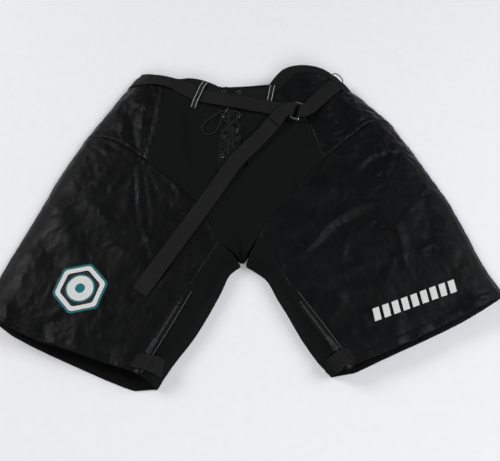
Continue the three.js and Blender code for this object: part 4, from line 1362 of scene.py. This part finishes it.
def skinPiece(name, node, finish, body, slotName, thick, cuts=2, fineLevels=0):
    shape = skinMesh(node, cuts)
    piece = finishMesh(name, shape)
    tree = BVHTree.FromBMesh(shape)
    shape.free()
    piece.data.materials.append(finish)
    for polygon in piece.data.polygons:
        polygon.use_smooth = True
    if fineLevels:
        fine = piece.modifiers.new("fine", "SUBSURF")
        fine.levels = fine.render_levels = fineLevels
    thickness = piece.modifiers.new("thickness", "SOLIDIFY")
    thickness.thickness = thick
    thickness.offset = -1
    settle(piece, body, slotName, node)
    return piece, tree


def onTree(tree, points, rise=0.1 * mm):  # a line of plan points in millimetres, dropped onto a skin
    run = []
    for a, b in zip(points[:-1], points[1:]):
        count = max(2, int(math.dist(a, b) / 2))
        for i in range(count):
            x, y = (p + (q - p) * i / (count - 1) for p, q in zip(a, b))
            hit, normal, _, _ = tree.ray_cast(Vector((x * mm, y * mm, 0.3)), down)
            if hit is not None:
                normal = normal if normal.z > 0 else -normal
                run.append((hit + normal * rise, normal))
    return run


def inset(corners, share):
    middle = np.mean(corners, axis=0)
    rows = [tuple(middle + (np.array(c) - middle) * share) for c in corners]
    return rows + rows[:1]


zipSettings = {"toothPitch": 2.0, "foot": 3.0, "head": 9.0, "toothTop": 36.9, "seam": 6.4, "tapeTop": 35.45,
               "piping": 8.2, "pipingLift": 35.9, "pipingRadius": 0.65, "pipingBow": 1.2}


def makeZip(side):
    z = zipSettings
    start, end = (np.array(p, float) for p in zipLines[side])
    length = np.linalg.norm(end - start)
    along = (end - start) / length
    across = np.array([along[1], -along[0]])
    up = Vector((0, 0, 1))
    teeth = []
    count = int((length - z["foot"] - z["head"]) / z["toothPitch"])
    for i in range(count):
        middle = start + along * (z["foot"] + i * z["toothPitch"])
        way = 1 if i % 2 else -1
        ends = [middle + across * way * r for r in (-0.7, 2.6)]
        teeth.append([(Vector((*p, z["toothTop"])) * mm, up) for p in ends])
    points, faces = stitchMesh(teeth, 3.2 * mm, 3.2 * mm, 1.5 * mm, 0.45 * mm)
    settle(meshPiece(f"{side}ZipTeeth", points, faces, coilPlastic), "shell", "zip_teeth")
    seams = []
    for way in (-1, 1):
        ends = [start + across * way * z["seam"] - along * 5, end + across * way * z["seam"]]
        seams.append([(Vector((*p, z["tapeTop"])) * mm, up) for p in ends])
    stitches(f"{side}ZipStitches", seams, blackThread, "shell", "zip_tape_cloth")
    # a piping tube along the zip, whose pale finish paints the zip's sheen line
    path = []
    for i in range(41):
        share = i / 40
        bow = z["piping"] + z["pipingBow"] * math.sin(share * math.pi)
        p = start + along * (share * (length + 10) - 2) + across * bow
        path.append(Vector((p[0], p[1], z["pipingLift"])) * mm)
    piping = tubeMesh(f"{side}ZipSheenPiping", path, z["pipingRadius"] * mm, pipingCord, 8)
    settle(piping, "shell", "zip_tape_cloth")


for side in ("right", "left"):
    _, tabTree = skinPiece(f"{side}HemTabStrap", f"{side}_hem_tab", webbing, f"{side}_tab", "webbing",
                           1.2 * mm, 0, 2)
    boxRuns = [onTree(tabTree, inset(tabPlan[side], share), 0.0) for share in (0.80, 0.66)]
    stitches(f"{side}TabStitches", [r for r in boxRuns if len(r) > 3], greyThread, f"{side}_tab", "webbing",
             3.2 * mm, 2.4 * mm, 0.8 * mm, 0.6 * mm)
    skinPiece(f"{side}HookPatch", f"{side}_hook_patch", hookTape, f"{side}_tab", "hook_tape", 1.0 * mm, 1)
    skinPiece(f"{side}LoopPatch", f"{side}_loop_patch", loopTape, "shell", "hook_tape", 1.0 * mm, 1)
    skinPiece(f"{side}ZipTape", f"{side}_zip_tape", band, "shell", "zip_tape_cloth", 0.5 * mm, 9)
    makeZip(side)
    _, placketTree = skinPiece(f"{side}FlyPlacket", f"{side}_fly_placket", band, "shell", "waistband_cloth",
                               1.2 * mm, 2)
    lean = -1 if side == "right" else 1
    lines = [[(-30 + lean * off, y) for y in (276, 200, 110)] for off in (10.5, 21.5)]
    stitches(f"{side}PlacketStitches", [r for r in (onTree(placketTree, l) for l in lines) if len(r) > 3],
             blackThread, "shell", "waistband_cloth")
skinPiece("flyTongueMesh", "fly_tongue", spacerMesh, "shell", "mesh_cloth", 1.8 * mm, 2)
print("zips, tabs and fly made")

nodeFinishes = [  # a word in a frame piece's name, and its finish; the first that fits is used
    ("ring", nickel), ("eyelet", eyeletMetal),
    ("slider", blackMetal), ("pull", blackMetal), ("stop", blackMetal), ("box", blackMetal),
    ("badge", whiteThread), ("mark", whiteThread), ("placket", band), ("fly_tongue", spacerMesh),
    ("coil", coilPlastic), ("lace", lace),
]
for node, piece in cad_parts.items():
    fitting = [finish for word, finish in nodeFinishes if word in node]
    piece.data.materials.clear()
    piece.data.materials.append((fitting + [webbing])[0])
